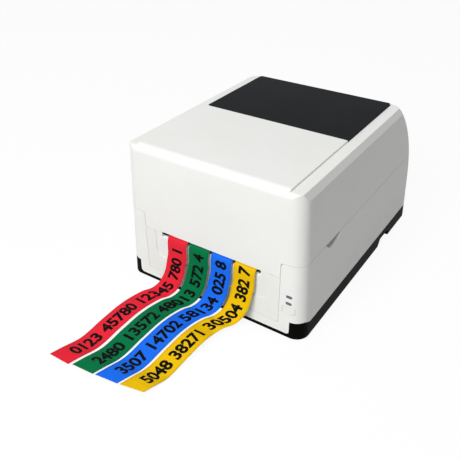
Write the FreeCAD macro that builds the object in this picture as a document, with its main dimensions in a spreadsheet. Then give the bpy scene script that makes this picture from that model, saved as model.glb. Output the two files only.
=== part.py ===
import FreeCAD, Part
import math
import os
import re
import Sketcher
from FreeCAD import Placement, Rotation, Vector

# Desktop label printer: white clamshell case on a black base, four label tapes in the front slot.
# X runs to the right, Y to the rear and Z up, from the middle of the base's underside.

SIZES = {
    # case
    "body_width": 216, "body_depth": 290, "body_height": 161, "side_lean": 0.055,
    "edge_round": 14, "brow_round": 8, "inner_round": 8, "inner_brow": 4, "wall": 2.5, "roof_wall": 5,
    "roof_length": 235, "rear_turn": 55,
    "roof_inset": 13.3, "roof_width": "=body_width - 2 * roof_inset", "chamfer_rise": 9.3,
    "plateau_inset": 24.2, "plateau_width": "=body_width - 2 * plateau_inset", "rim_drop": 2, "rim_round": 5,
    "parting_height": 86, "parting_gap": 0.4, "tongue_inset": 27.5,
    "tongue_width": "=body_width - 2 * tongue_inset", "tongue_round": 4, "through": 1,
    "window_setback": 119.5, "window_thick": 3, "window_gap": 0.3, "window_ledge": 12,
    # front panel
    "media_margin": 48.5, "slot_width": "=body_width - 2 * media_margin",
    "slot_top": 68.5, "slot_height": 6, "slot_lip": 1.6,
    "panel_bottom": 15, "panel_gap": 0.3, "panel_flange": 3, "flange_thick": 2,
    "apron_side": 8.5, "apron_width": "=slot_width + 2 * apron_side", "apron_bottom": 36,
    "apron_depth": 0.6, "apron_round": 8,
    # base
    "skirt_height": 16, "post_height": 20, "post_length": 8, "post_slope": 9,
    "sill_height": 4.2, "sill_inset": 15, "sill_width": "=body_width - 2 * sill_inset",
    "sill_round": 3.5, "floor_thick": 3,
    "tail_length": 13, "tail_height": 13, "notch_front": 48, "notch_length": 32,
    "notch_height": 7.5, "notch_depth": 9,
    "foot_radius": 8, "foot_drop": 2, "foot_seat": 1, "foot_side": 28, "foot_end": 27,
    "foot_gap": 0.2,
    "screw_radius": 1.5, "screw_head": 3.4, "screw_head_thick": 1.6, "screw_length": 26,
    "screw_side": 23, "screw_end": 45, "screw_gap": 0.05, "boss_radius": 5, "post_top": 36,
    # finger grips
    "grip_place": 63, "grip_length": 32, "grip_drop": 8.5, "grip_depth": 5.5,
    # hinge
    "hinge_out": 0.4, "knuckle_radius": 4, "knuckle_width": 8, "ear_width": 6, "hinge_gap": 0.3,
    "hinge_span": 120, "pin_radius": 2, "pin_gap": 0.05, "swing_gap": 0.6,
    # operating corner
    "button_inset": 17, "button_place": "=body_width / 2 - button_inset", "button_height": 33.7,
    "button_width": 13.2, "button_tall": 9.2, "button_round": 3, "button_gap": 0.25,
    "button_thick": 4, "button_travel": 1.2, "stem_size": 5,
    "lamp_upper": 50.1, "lamp_lower": 42.2, "lamp_width": 6.5, "lamp_tall": 3.4,
    "board_thick": 1.6, "board_back": 12, "key_size": 6,
    "board_post_radius": 2, "board_post_side": 7.5, "board_post_drop": 4,
    "board_left": 10, "board_right": 7, "board_below": 3, "board_above": 6,
    # drive
    "platen_radius": 8.5, "platen_short": 1, "platen_length": "=slot_width - platen_short",
    "platen_setback": 17, "shaft_radius": 4, "shaft_spare": 1,
    "web_height": 67.2, "web_gap": 0.3, "press_gap": 0.01, "tape_thick": 0.4, "film_thick": 0.3,
    "plate_thick": 2, "plate_clear": 7.5, "plate_place": "=slot_width / 2 + plate_clear",
    "plate_rear": 76, "plate_lip": 10, "plate_rise": 66, "plate_drop": 14,
    "guide_land": 6, "guide_rise": 3, "bush_land": 4,
    "bush_radius": 6, "bush_width": 5, "run_gap": 0.05,
    "gear_module": 1, "gear_width": 6, "gear_offset": 2, "mesh_gap": 0.15,
    "platen_teeth": 18, "idler_teeth": 30, "pinion_teeth": 12,
    "axle_radius": 3, "rivet_thick": 1.5, "rivet_rim": 2,
    "idler_angle": -40, "pinion_angle": -60,
    "motor_size": 35, "motor_length": 26, "motor_boss": 6, "motor_shaft_radius": 2.5,
    "guide_radius": 3, "guide_setback": 59, "sensor_setback": 37, "sensor_depth": 8,
    "sensor_height": 6, "sensor_drop": 1, "tear_thick": 1.5, "tear_rise": 10, "tear_over": 1.5,
    "tear_spare": 2,
    # label supply
    "roll_place": 48, "roll_height": 74, "roll_radius": 44, "core_radius": 15.5,
    "hub_radius": 12.4, "core_gap": 0.1, "journal_radius": 6, "journal_length": 9,
    "tape_edge": 5.5, "tape_pitch": "=(slot_width - 2 * tape_edge) / 4", "tape_gap": 3,
    "tape_width": "=tape_pitch - tape_gap", "tape_offset": 2.5, "core_spare": 1.3,
    "flange_radius": 34, "flange_width": 3, "cradle_thick": 6, "cradle_width": 30,
    "cradle_gap": 1, "trough_gap": 3, "trough_thick": 2, "trough_rim": 60,
    # electronics
    "main_short": 15, "main_width": "=slot_width - main_short", "main_length": 116, "main_height": 20,
    "main_clear": 3, "standoff_radius": 4, "standoff_inset": 16,
    "chip_large": 16, "chip_small": 12, "chip_place": 20, "chip_setback": 12, "chip_thick": 2,
    "can_radius": 4, "can_rise": 9, "can_place": 22, "can_pitch": 11, "can_inset": 12,
    "jack_inset": 12, "jack_place": "=main_width / 2 - jack_inset", "jack_width": 14, "jack_tall": 11,
    "jack_length": 14, "jack_hole": 3.2, "jack_back": 3, "jack_pin": 1, "jack_pin_short": 2,
    "port_place": 8, "port_width": 12, "port_tall": 11, "port_length": 16, "port_wall": 1.5,
    "port_back": 3, "tongue_half": 2.8, "tongue_low": 4, "tongue_high": 7, "tongue_short": 2,
    "rocker_inset": 34, "rocker_place": "=body_width / 2 - rocker_inset", "rocker_height": 34,
    "rocker_width": 12, "rocker_tall": 18, "rocker_rim": 2, "rocker_depth": 15, "rocker_pin": 1.5,
    "rocker_gap": 0.4, "rocker_seat": 3, "rocker_bezel": 1.5, "bezel_thick": 1.2,
    "rocker_root": 5, "rocker_neck": 4, "rocker_crown": 2, "rocker_proud": 4, "rocker_sunk": 0.5,
    "rocker_short": 2, "rocker_toe": 1,
    "fold_height": 68, "fold_tall": 6,
    # print head and ribbon
    "head_short": 3, "head_length": "=slot_width - head_short", "head_depth": 19, "head_shift": 3,
    "heater_thick": 2.6, "heater_inset": 1, "sink_rise": 15,
    "fin_edge": 4, "fin_count": 9, "fin_pitch": "=(head_length - 2 * fin_edge) / fin_count",
    "fin_depth": 7, "fin_slot": 6, "bracket_depth": 13, "bracket_thick": 3,
    "spring_length": 8, "spring_radius": 4, "spring_wire": 0.5, "spring_turns": 3, "spring_seat": 0.1,
    "spring_inset": 16, "spring_span": "=head_length - 2 * spring_inset",
    "guide_pin_radius": 2, "pin_cap_radius": 3.6, "pin_cap_thick": 1.5,
    "ribbon_clear": 3.5, "ribbon_plate_place": "=slot_width / 2 + ribbon_clear",
    "ribbon_axis_drop": 33, "ribbon_axis_height": "=body_height - ribbon_axis_drop",
    "ribbon_plate_front": 6, "ribbon_plate_rear": 4, "ribbon_plate_rise": 2, "ribbon_plate_step": 24,
    "ribbon_plate_drop": 6, "ribbon_plate_corner": 8,
    "supply_setback": 100, "takeup_setback": 33, "ribbon_short": 9,
    "ribbon_width": "=slot_width - ribbon_short", "supply_radius": 22,
    "takeup_radius": 15, "spool_radius": 12, "spool_journal": 5, "spool_spare": 1.5,
    "takeup_teeth": 36, "ribbon_pinion_teeth": 12, "ribbon_shaft_radius": 2, "ribbon_shaft_depth": 8,
    "ribbon_motor_radius": 11, "ribbon_motor_length": 21, "ribbon_flange_thick": 2,
    "ribbon_mount_gap": 9, "ribbon_post_radius": 3, "ribbon_post_place": 15,
    "film_behind": 3.5, "film_ahead": 3, "film_bend_rear": 3, "film_bend_front": 2,
}

DOC = FreeCAD.newDocument("label_printer")
SHEET = DOC.addObject("Spreadsheet::Sheet", "Sizes")
for row, (alias, size) in enumerate(SIZES.items(), start=1):
    SHEET.set(f"A{row}", alias)
    SHEET.set(f"B{row}", str(size))
    SHEET.setAlias(f"B{row}", alias)
DOC.recompute()

NODES = []


def node(thing):
    """Keeps an object as one of the printer's pieces, written to a file of its own."""
    NODES.append(thing)
    return thing


def num(text):
    """The number that an expression of sheet names comes to."""
    return float(SHEET.evalExpression(str(text)))


def bind(thing, prop, text):
    """Ties a property to an expression of sheet names."""
    named = re.sub(r"[a-z]\w*", lambda m: "Sizes." + m[0] if m[0] in SIZES else m[0], str(text))
    thing.setExpression(prop, named)


def box(label, x, y, z):
    """A block between two planes along each axis."""
    block = DOC.addObject("Part::Box", label)
    for size, axis, (low, high) in zip(("Length", "Width", "Height"), "xyz", (x, y, z)):
        bind(block, size, f"({high}) - ({low})")
        bind(block, f"Placement.Base.{axis}", low)
    return block


def rod(label, axis, radius, low, high, at):
    """A round bar along one axis, at the two other coordinates in order."""
    bar = DOC.addObject("Part::Cylinder", label)
    along = {"x": Vector(1, 0, 0), "y": Vector(0, 1, 0), "z": Vector(0, 0, 1)}[axis]
    bar.Placement = Placement(Vector(), Rotation(Vector(0, 0, 1), along))
    bind(bar, "Radius", radius)
    bind(bar, "Height", f"({high}) - ({low})")
    bind(bar, f"Placement.Base.{axis}", low)
    for other, text in zip("xyz".replace(axis, ""), at):
        bind(bar, f"Placement.Base.{other}", text)
    return bar


def fuse(label, *pieces):
    """Pieces joined into one."""
    joined = DOC.addObject("Part::MultiFuse", label)
    joined.Shapes = list(pieces)
    joined.Refine = True
    return joined


def group(label, pieces):
    """Like pieces that share a node, each a solid of its own."""
    joined = DOC.addObject("Part::Compound", label)
    joined.Links = list(pieces)
    return joined


def common(label, *pieces):
    """What pieces share."""
    shared = DOC.addObject("Part::MultiCommon", label)
    shared.Shapes = list(pieces)
    return shared


def cut(label, base, *tools):
    """A piece with others taken away."""
    rest = DOC.addObject("Part::Cut", label)
    rest.Base = base
    rest.Tool = tools[0] if len(tools) == 1 else fuse(label + "_tools", *tools)
    rest.Refine = True
    return rest


def sketch(body, role, name, offset):
    """A sketch on one of the body's own origin planes, moved along its normal."""
    drawing = body.newObject("Sketcher::SketchObject", name)
    plane = next(o for o in body.Origin.OriginFeatures if o.Role == role)
    drawing.AttachmentSupport = [(plane, "")]
    drawing.MapMode = "FlatFace"
    bind(drawing, "AttachmentOffset.Base.z", offset)
    return drawing


def place(drawing, index, corner, name, at):
    """Holds one point of a sketch at expressions for its two coordinates."""
    for kind, axis, text in zip(("DistanceX", "DistanceY"), (-2, -1), at):
        if abs(num(text)) < 1e-9:
            drawing.addConstraint(Sketcher.Constraint("PointOnObject", index, corner, axis))
            continue
        held = drawing.addConstraint(Sketcher.Constraint(kind, -1, 1, index, corner, num(text)))
        drawing.renameConstraint(held, f"{name}{kind}")
        bind(drawing, f"Constraints.{name}{kind}", text)


def outline(drawing, points):
    """A closed run of straight lines through points."""
    first = drawing.GeometryCount
    corners = [Vector(num(a), num(b), 0) for a, b in points]
    for start, end in zip(corners, corners[1:] + corners[:1]):
        drawing.addGeometry(Part.LineSegment(start, end))
    for i, at in enumerate(points):
        after = first + (i + 1) % len(points)
        drawing.addConstraint(Sketcher.Constraint("Coincident", first + i, 2, after, 1))
        place(drawing, first + i, 1, f"p{first + i}", at)


def ring(drawing, radius, at=("0", "0")):
    """A circle of a sketch."""
    centre = Vector(num(at[0]), num(at[1]), 0)
    index = drawing.addGeometry(Part.Circle(centre, Vector(0, 0, 1), num(radius)))
    held = drawing.addConstraint(Sketcher.Constraint("Radius", index, num(radius)))
    drawing.renameConstraint(held, f"radius{index}")
    bind(drawing, f"Constraints.radius{index}", radius)
    place(drawing, index, 3, f"c{index}", at)


def new_body(label):
    """An empty body."""
    return DOC.addObject("PartDesign::Body", label)


def pad(body, role, points, low, high):
    """Adds a straight-sided outline drawn out between two planes."""
    name = f"{body.Name}_{len(body.Group)}"
    lift = f"-({high})" if role == "XZ_Plane" else low
    drawing = sketch(body, role, name + "_outline", lift)
    outline(drawing, points)
    added = body.newObject("PartDesign::Pad", name + "_pad")
    added.Profile = drawing
    bind(added, "Length", f"({high}) - ({low})")
    DOC.recompute()
    return body


def pocket(body, role, points, low, high):
    """Takes away a straight-sided outline between two planes."""
    name = f"{body.Name}_{len(body.Group)}"
    lift = f"-({low})" if role == "XZ_Plane" else high
    drawing = sketch(body, role, name + "_outline", lift)
    outline(drawing, points)
    before = body.Shape.Volume
    taken = body.newObject("PartDesign::Pocket", name + "_pocket")
    taken.Profile = drawing
    bind(taken, "Length", f"({high}) - ({low})")
    DOC.recompute()
    if body.Shape.Volume > before - 1e-6:
        raise RuntimeError(f"{taken.Name} cuts nothing")
    return body


def prism(label, role, points, low, high):
    """A body that is one outline drawn out."""
    return pad(new_body(label), role, points, low, high)


def rounded(body, radius, pick):
    """Rounds the edges of a body that a rule picks."""
    edges = [f"Edge{i}" for i, e in enumerate(body.Tip.Shape.Edges, start=1) if pick(e)]
    base = body.Tip
    curve = body.newObject("PartDesign::Fillet", f"{body.Name}_{len(body.Group)}_round")
    curve.Base = (base, edges)
    bind(curve, "Radius", radius)
    DOC.recompute()
    return body


def turned(label, profile, at):
    """A body turned about an axis along X: profile of (place along X, radius), at (y, z)."""
    body = new_body(label)
    drawing = sketch(body, "XY_Plane", label + "_profile", "0")
    outline(drawing, profile)
    spun = body.newObject("PartDesign::Revolution", label + "_turn")
    spun.Profile = drawing
    spun.ReferenceAxis = (drawing, ["H_Axis"])
    spun.Angle = 360
    bind(body, "Placement.Base.y", at[0])
    bind(body, "Placement.Base.z", at[1])
    DOC.recompute()
    return body


def sleeve(label, low, high, inner, outer, at):
    """A turned ring between two planes and two radii."""
    return turned(label, [(low, inner), (high, inner), (high, outer), (low, outer)], at)


def rectangle(x, y):
    """The four corners of a rectangle between two pairs of values."""
    return [(x[0], y[0]), (x[1], y[0]), (x[1], y[1]), (x[0], y[1])]


def both(text):
    """A span from minus a value to plus it."""
    return (f"-({text})", text)


def about(middle, reach):
    """A span about a middle value."""
    return (f"{middle} - ({reach})", f"{middle} + {reach}")


def near(value, text, slack=0.01):
    """Whether a measured value lies at an expression."""
    return abs(value - num(text)) < slack


def gear(label, teeth, low, high, bore, at, turn):
    """A spur gear along X with straight-flanked teeth, one tooth turned to an angle."""
    body = new_body(label)
    blank = sketch(body, "YZ_Plane", label + "_blank", low)
    root = f"gear_module * ({teeth} / 2 - 1.25)"
    ring(blank, root)
    disc = body.newObject("PartDesign::Pad", label + "_disc")
    disc.Profile = blank
    bind(disc, "Length", f"{high} - ({low})")
    flank = sketch(body, "YZ_Plane", label + "_flank", low)
    tip = f"gear_module * ({teeth} / 2 + 0.9)"
    foot = f"gear_module * ({teeth} / 2 - 1.6)"
    outline(flank, [(foot, "-gear_module * 1.1"), (tip, "-gear_module * 0.34"),
                    (tip, "gear_module * 0.34"), (foot, "gear_module * 1.1")])
    tooth = body.newObject("PartDesign::Pad", label + "_tooth")
    tooth.Profile = flank
    bind(tooth, "Length", f"{high} - ({low})")
    DOC.recompute()
    teeth_ring = body.newObject("PartDesign::PolarPattern", label + "_teeth")
    teeth_ring.Originals = [tooth]
    axis = next(o for o in body.Origin.OriginFeatures if o.Role == "X_Axis")
    teeth_ring.Axis = (axis, [""])
    teeth_ring.Angle = 360
    bind(teeth_ring, "Occurrences", teeth)
    body.Tip = teeth_ring
    DOC.recompute()
    hole = sketch(body, "YZ_Plane", label + "_hole", high)
    ring(hole, bore)
    bored = body.newObject("PartDesign::Pocket", label + "_bore")
    bored.Profile = hole
    bind(bored, "Length", f"{high} - ({low})")
    body.Placement = Placement(Vector(), Rotation(Vector(1, 0, 0), turn))
    bind(body, "Placement.Base.y", at[0])
    bind(body, "Placement.Base.z", at[1])
    DOC.recompute()
    return body


FRONT = "-body_depth / 2"
REAR = "body_depth / 2"
PART_LOW = "parting_height - parting_gap / 2"
PART_HIGH = "parting_height + parting_gap / 2"
OPENING = "tongue_width / 2 + parting_gap"
REAR_REACH = "(body_depth - roof_length)"
REAR_RADIUS = f"((body_height - rear_turn) ^ 2 + {REAR_REACH} ^ 2) / (2 * {REAR_REACH})"
REAR_CENTRE = f"body_depth / 2 - {REAR_RADIUS}"


def side(height, inset="0"):
    """Half the case's width at a height, less an inset."""
    return f"(body_width / 2 - side_lean * ({height}) - ({inset}))"


def mirrored(points):
    """Outline points on the other side of the middle plane, in the order that goes on from them."""
    return [(f"-({x})", z) for x, z in reversed(points)]


def corner_tool(label, centre, radius, rear):
    """What a rounded upper front or rear corner of the profile leaves outside its arc."""
    body = new_body(label)
    drawing = sketch(body, "YZ_Plane", label + "_outline", "-body_width / 2 - wall")
    middle = Vector(num(centre[0]), num(centre[1]), 0)
    reach = num(radius)
    out = Vector(reach if rear else -reach, 0, 0)
    rise = Vector(0, reach, 0)
    turn = 0 if rear else math.pi / 2
    circle = Part.Circle(middle, Vector(0, 0, 1), reach)
    drawing.addGeometry(Part.ArcOfCircle(circle, turn, turn + math.pi / 2))
    drawing.addGeometry(Part.LineSegment(middle + rise, middle + rise + out))
    drawing.addGeometry(Part.LineSegment(middle + rise + out, middle + out))
    place(drawing, 0, 3, "centre", centre)
    held = drawing.addConstraint(Sketcher.Constraint("Radius", 0, reach))
    drawing.renameConstraint(held, "reach")
    bind(drawing, "Constraints.reach", radius)
    upper, outer = (2, 1) if rear else (1, 2)
    for kind, end in (("Vertical", upper), ("Horizontal", outer)):
        drawing.addConstraint(Sketcher.Constraint(kind, 0, 3, 0, end))
    for first, start, second, end in ((0, upper, 1, 1), (1, 2, 2, 1), (0, outer, 2, 2)):
        drawing.addConstraint(Sketcher.Constraint("Coincident", first, start, second, end))
    drawing.addConstraint(Sketcher.Constraint("Horizontal", 1))
    drawing.addConstraint(Sketcher.Constraint("Vertical", 2))
    added = body.newObject("PartDesign::Pad", label + "_pad")
    added.Profile = drawing
    bind(added, "Length", "body_width + 2 * wall")
    DOC.recompute()
    return body


def eased(label, piece, radius, pick):
    """Rounds the edges of a piece that a rule picks, where they lean."""
    DOC.recompute()
    curve = DOC.addObject("Part::Fillet", label)
    curve.Base = piece
    reach = num(radius)
    curve.Edges = [(i, reach, reach) for i, e in enumerate(piece.Shape.Edges, start=1) if pick(e)]
    DOC.recompute()
    return curve


def case_form(label, inset, top, bottom, knee, shoulder, corner_round, brow):
    """The case's outer or inner form: leaning sides, rounded corners, roof chamfers, curved rear."""
    front = f"{FRONT} + ({inset})"
    profile = [(side(bottom, inset), bottom), (side(top, inset), top)]
    blank = prism(label + "_blank", "XZ_Plane", profile + mirrored(profile), front, f"{REAR} - ({inset})")
    upright = eased(label + "_upright", blank, corner_round,
                    lambda e: near(e.BoundBox.YMax, front) and e.BoundBox.ZLength > 1)
    brow_tool = corner_tool(label + "_brow", (f"{front} + {brow}", f"({top}) - {brow}"), brow, False)
    steep = f"(({top}) - ({knee})) / ({side(knee, inset)} - ({shoulder}))"
    low_end = f"({knee}) - (body_width / 2 - {side(knee, inset)}) * {steep}"
    above = f"({top}) + wall"
    bevel = [(shoulder, top), ("body_width / 2", low_end), ("body_width / 2", above), (shoulder, above)]
    bevels = [prism(f"{label}_bevel_{name}", "XZ_Plane", corners, f"{FRONT} - wall", f"{REAR} + wall")
              for name, corners in (("right", bevel), ("left", mirrored(bevel)))]
    lean_tool = corner_tool(label + "_lean", (REAR_CENTRE, "rear_turn"), f"{REAR_RADIUS} - ({inset})", True)
    browed = cut(label + "_browed", upright, brow_tool)
    leaned = cut(label + "_leaned", cut(label + "_bevelled", browed, *bevels), lean_tool)
    roof_end = num("roof_length - body_depth / 2")
    turn = num("rear_turn")
    return eased(label, leaned, corner_round, lambda e: e.BoundBox.YMin > roof_end
                 and e.BoundBox.ZLength > 1 and e.BoundBox.ZMin < turn + 1)


KNEE = "body_height - chamfer_rise"
RUN = f"({side(KNEE)} - roof_width / 2)"
SLANT = f"sqrt({RUN} ^ 2 + chamfer_rise ^ 2)"
case_block = case_form("case_block", "0", "body_height", "0", KNEE, "roof_width / 2", "edge_round",
                       "brow_round")
inner_shoulder = f"roof_width / 2 + roof_wall * {RUN} / chamfer_rise - wall * {SLANT} / chamfer_rise"
case_hollow = case_form("case_hollow", "wall", "body_height - roof_wall", "floor_thick",
                        f"{KNEE} - wall / 2", inner_shoulder, "inner_round", "inner_brow")

ACROSS = both("body_width / 2 + wall")

# Base tray: black moulded tray, skirts up the sides, raised front corners and hand notches.
POST_END = f"{FRONT} + post_length"
base_zone = prism("base_zone", "YZ_Plane", [
    (f"{FRONT} - wall", "0"), (f"{REAR} - tail_length", "0"), (REAR, "tail_height"),
    (f"{REAR} + wall", "tail_height"), (f"{REAR} + wall", "skirt_height"),
    (f"{POST_END} + post_slope", "skirt_height"), (POST_END, "post_height"),
    (f"{FRONT} - wall", "post_height")], *ACROSS)
pocket(base_zone, "XZ_Plane", rectangle(both("sill_width / 2"), ("sill_height", "post_height + wall")),
       f"{FRONT} - 2 * wall", f"{POST_END} + post_slope + wall")
rounded(base_zone, "sill_round", lambda e: e.BoundBox.YLength > 1 and e.BoundBox.XLength < 0.01
        and near(abs(e.CenterOfMass.x), "sill_width / 2") and near(e.CenterOfMass.z, "sill_height"))
TAIL_SHIFT = "floor_thick * sqrt(tail_length ^ 2 + tail_height ^ 2) / tail_height"
tail_wall = prism("tail_wall", "YZ_Plane", [
    (f"{REAR} - tail_length - {TAIL_SHIFT}", "0"), (f"{REAR} + wall", "0"),
    (f"{REAR} + wall", f"(tail_length + {TAIL_SHIFT} + wall) * tail_height / tail_length")], *ACROSS)
base_shell = cut("base_shell", common("base_form", case_block, base_zone),
                 cut("base_hollow", case_hollow, tail_wall))

FOOT_X = "body_width / 2 - foot_side"
FOOT_Y = "body_depth / 2 - foot_end"
SCREW_X = "body_width / 2 - screw_side"
SCREW_Y = "body_depth / 2 - screw_end"
BOARD_END = f"{REAR} - wall - main_clear"
BOARD_START = f"{BOARD_END} - main_length"
CORNERS = [(a, b) for a in ("", "-") for b in ("", "-")]
SIDES = (("right", 1), ("left", -1))


def outward(sign, low, high):
    """A span between two distances from the middle plane, on one side of it."""
    return (low, high) if sign > 0 else (f"-({high})", f"-({low})")


def four(label, radius, low, high, x, y):
    """Four upright bars at the corners of a rectangle about the middle."""
    return [rod(f"{label}_{i}", "z", radius, low, high, (f"{a}({x})", f"{b}({y})"))
            for i, (a, b) in enumerate(CORNERS)]


screw_bosses = four("screw_boss", "boss_radius", "floor_thick / 2", "skirt_height", SCREW_X, SCREW_Y)
standoffs = [rod(f"standoff_{i}_{k}", "z", "standoff_radius", "floor_thick / 2", "main_height",
                 (f"{a}(main_width / 2 - standoff_radius)", y))
             for i, a in enumerate(("", "-"))
             for k, y in enumerate((f"{BOARD_START} + standoff_radius",
                                    f"{BOARD_END} - standoff_inset"))]
notch_walls = []
notch_tools = []
for name, sign in SIDES:
    notch_walls.append(box(f"notch_wall_{name}",
                           outward(sign, "body_width / 2 - notch_depth - wall", "body_width / 2 - wall"),
                           ("notch_front - wall", "notch_front + notch_length + wall"),
                           ("floor_thick / 2", "notch_height + wall")))
    notch_tools.append(prism(f"notch_{name}", "YZ_Plane", [
        ("notch_front - wall", "-wall"), ("notch_front + notch_length", "-wall"),
        ("notch_front + notch_length", "notch_height"), ("notch_front + notch_height", "notch_height")],
        *outward(sign, "body_width / 2 - notch_depth", "body_width / 2 + wall")))
base_tray = node(cut(
    "base_tray", fuse("base_fitted", base_shell, *screw_bosses, *standoffs, *notch_walls),
    *notch_tools,
    *four("foot_seat", "foot_radius + foot_gap", "-wall", "foot_seat", FOOT_X, FOOT_Y),
    *four("screw_way", "screw_radius + screw_gap", "-wall", "skirt_height + wall", SCREW_X, SCREW_Y),
    *four("screw_sink", "screw_head + foot_gap", "-wall", "floor_thick - screw_head_thick / 2",
          SCREW_X, SCREW_Y)))

# Rubber feet, bonded into round seats under the tray.
node(group("rubber_feet", four("foot", "foot_radius", "-foot_drop", "foot_seat", FOOT_X, FOOT_Y)))

# Case screws, from below through the tray's bosses into the housing's posts.
HEAD_TOP = "floor_thick - screw_head_thick / 2"
shanks = four("screw_shank", "screw_radius", HEAD_TOP, f"{HEAD_TOP} + screw_length", SCREW_X, SCREW_Y)
heads = four("screw_cap", "screw_head", f"{HEAD_TOP} - screw_head_thick", HEAD_TOP, SCREW_X, SCREW_Y)
node(group("case_screws", [fuse(f"case_screw_{i}", a, b) for i, (a, b) in enumerate(zip(shanks, heads))]))

# Lower housing: white moulded shell, open below and above, with the front cut out for the panel.
housing_zone = prism("housing_zone", "XY_Plane",
                     rectangle(ACROSS, (f"{FRONT} - wall", f"{REAR} + wall")), "0", PART_LOW)
pocket(housing_zone, "XZ_Plane", rectangle(both(OPENING), ("panel_bottom - panel_gap", "parting_height")),
       f"{FRONT} - 2 * wall", f"{FRONT} + 2 * wall")
rounded(housing_zone, "tongue_round", lambda e: e.BoundBox.YLength > 1 and e.BoundBox.XLength < 0.01
        and near(abs(e.CenterOfMass.x), OPENING) and near(e.CenterOfMass.z, PART_LOW))
tail_zone = box("tail_zone", ACROSS, ("0", f"{REAR} + wall"), ("-wall", "skirt_height"))
housing_shell = cut("housing_shell", common("housing_form", case_block, housing_zone),
                    case_hollow, base_zone, tail_zone)

GRIP_RADIUS = "((grip_length / 2) ^ 2 + grip_drop ^ 2) / (2 * grip_drop)"
GRIP_Y = f"{FRONT} + grip_place"
HINGE_Y = f"{REAR_CENTRE} + sqrt(({REAR_RADIUS}) ^ 2 - (parting_height - rear_turn) ^ 2) + hinge_out"
HINGE = (HINGE_Y, "parting_height")
KNUCKLES = (("right", "hinge_span / 2"), ("left", "-hinge_span / 2"))
EAR_FROM = "knuckle_width / 2 + hinge_gap"
EAR_TO = "knuckle_width / 2 + hinge_gap + ear_width"


def hinge_rods(label, radius, low, high):
    """Bars on the hinge line, between two distances from the middle of each hinge."""
    return [rod(f"{label}_{name}", "x", radius, f"{middle} + ({low})", f"{middle} + ({high})", HINGE)
            for name, middle in KNUCKLES]


def ear_rods(label, radius, spare):
    """Bars where the housing's hinge ears are, longer by a spare length at both ends."""
    return (hinge_rods(label + "_far", radius, f"{EAR_FROM} - {spare}", f"{EAR_TO} + {spare}")
            + hinge_rods(label + "_near", radius, f"-({EAR_TO}) - {spare}", f"-({EAR_FROM}) + {spare}"))


grip_walls = []
grip_tools = []
screw_posts = []
for name, sign in SIDES:
    grip_walls.append(box(f"grip_wall_{name}",
                          outward(sign, f"{side(PART_LOW)} - grip_depth - wall",
                                  f"{side(PART_LOW)} - wall / 2"),
                          (f"{GRIP_Y} - grip_length / 2 - wall", f"{GRIP_Y} + grip_length / 2 + wall"),
                          (f"{PART_LOW} - grip_drop - 2 * wall", PART_LOW)))
    grip_tools.append(rod(f"grip_{name}", "x", GRIP_RADIUS,
                          *outward(sign, f"{side(PART_LOW)} - grip_depth", "body_width / 2 + wall"),
                          (GRIP_Y, f"{PART_LOW} - grip_drop + {GRIP_RADIUS}")))
    for end, y in (("rear", SCREW_Y), ("front", f"-({SCREW_Y})")):
        screw_posts.append(box(f"screw_post_{name}_{end}",
                               outward(sign, f"{SCREW_X} - boss_radius",
                                       f"{side('post_top')} - wall / 2"),
                               (f"{y} - boss_radius", f"{y} + boss_radius"),
                               ("skirt_height", "post_top")))

BOARD_FACE = f"{FRONT} + wall + board_back"
BOARD_POSTS = ("button_height - button_tall / 2 - board_post_drop", "(lamp_upper + lamp_lower) / 2")
board_posts = [rod(f"board_post_{i}", "y", "board_post_radius", f"{FRONT} + wall / 2", BOARD_FACE,
                   ("button_place - board_post_side", z)) for i, z in enumerate(BOARD_POSTS)]


def oblong(label, x, z, wide, tall, radius, spare, low, high):
    """A bar along Y with a rounded rectangular section about (x, z), larger by a spare all round."""
    body = prism(label, "XZ_Plane", rectangle(
        (f"{x} - {wide} / 2 - {spare}", f"{x} + {wide} / 2 + {spare}"),
        (f"{z} - {tall} / 2 - {spare}", f"{z} + {tall} / 2 + {spare}")), low, high)
    return rounded(body, radius, lambda e: e.BoundBox.YLength > 1)


def lamp_bar(label, height, high):
    """The bar that a light window and its hole are cut to."""
    return oblong(label, "button_place", height, "lamp_width", "lamp_tall", "lamp_tall * 0.49", "0",
                  f"{FRONT} - wall", high)


LAMPS = (("upper", "lamp_upper"), ("lower", "lamp_lower"))
button_hole = oblong("button_hole", "button_place", "button_height", "button_width", "button_tall",
                     "button_round", "button_gap", f"{FRONT} - wall", f"{FRONT} + 3 * wall")
lamp_holes = [lamp_bar(f"lamp_hole_{n}", z, f"{FRONT} + 3 * wall") for n, z in LAMPS]


def rear_opening(label, x, wide, low, tall, spare):
    """A rectangular way through the rear wall."""
    return box(label, (f"{x} - {wide} / 2 - {spare}", f"{x} + {wide} / 2 + {spare}"),
               (f"{REAR} - 4 * wall", f"{REAR} + wall"), (f"{low} - {spare}", f"{low} + {tall} + {spare}"))


BOARD_TOP = "main_height + board_thick"
rear_ways = [
    rear_opening("jack_way", "jack_place", "jack_width", BOARD_TOP, "jack_tall", "panel_gap"),
    rear_opening("port_way", "port_place", "port_width", BOARD_TOP, "port_tall", "panel_gap"),
    rear_opening("rocker_way", "rocker_place", "(rocker_width + 2 * rocker_rim)",
                 "(rocker_height - rocker_tall / 2 - rocker_rim)", "(rocker_tall + 2 * rocker_rim)",
                 "press_gap"),
    rear_opening("fold_way", "0", "slot_width", "fold_height", "fold_tall", "0"),
]
lower_housing = node(cut(
    "lower_housing",
    fuse("housing_fitted",
         cut("housing_cleared", housing_shell,
             *hinge_rods("knuckle_room", "knuckle_radius + swing_gap", f"-({EAR_FROM})", EAR_FROM)),
         *ear_rods("ear", "knuckle_radius", "0"), *grip_walls, *screw_posts, *board_posts),
    *grip_tools, button_hole, *lamp_holes, *rear_ways,
    *hinge_rods("pin_way", "pin_radius + press_gap", f"-({EAR_TO}) - wall", f"{EAR_TO} + wall"),
    *four("screw_pilot", "screw_radius + screw_gap", "0", f"{HEAD_TOP} + screw_length + wall / 2",
          SCREW_X, SCREW_Y)))
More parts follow.
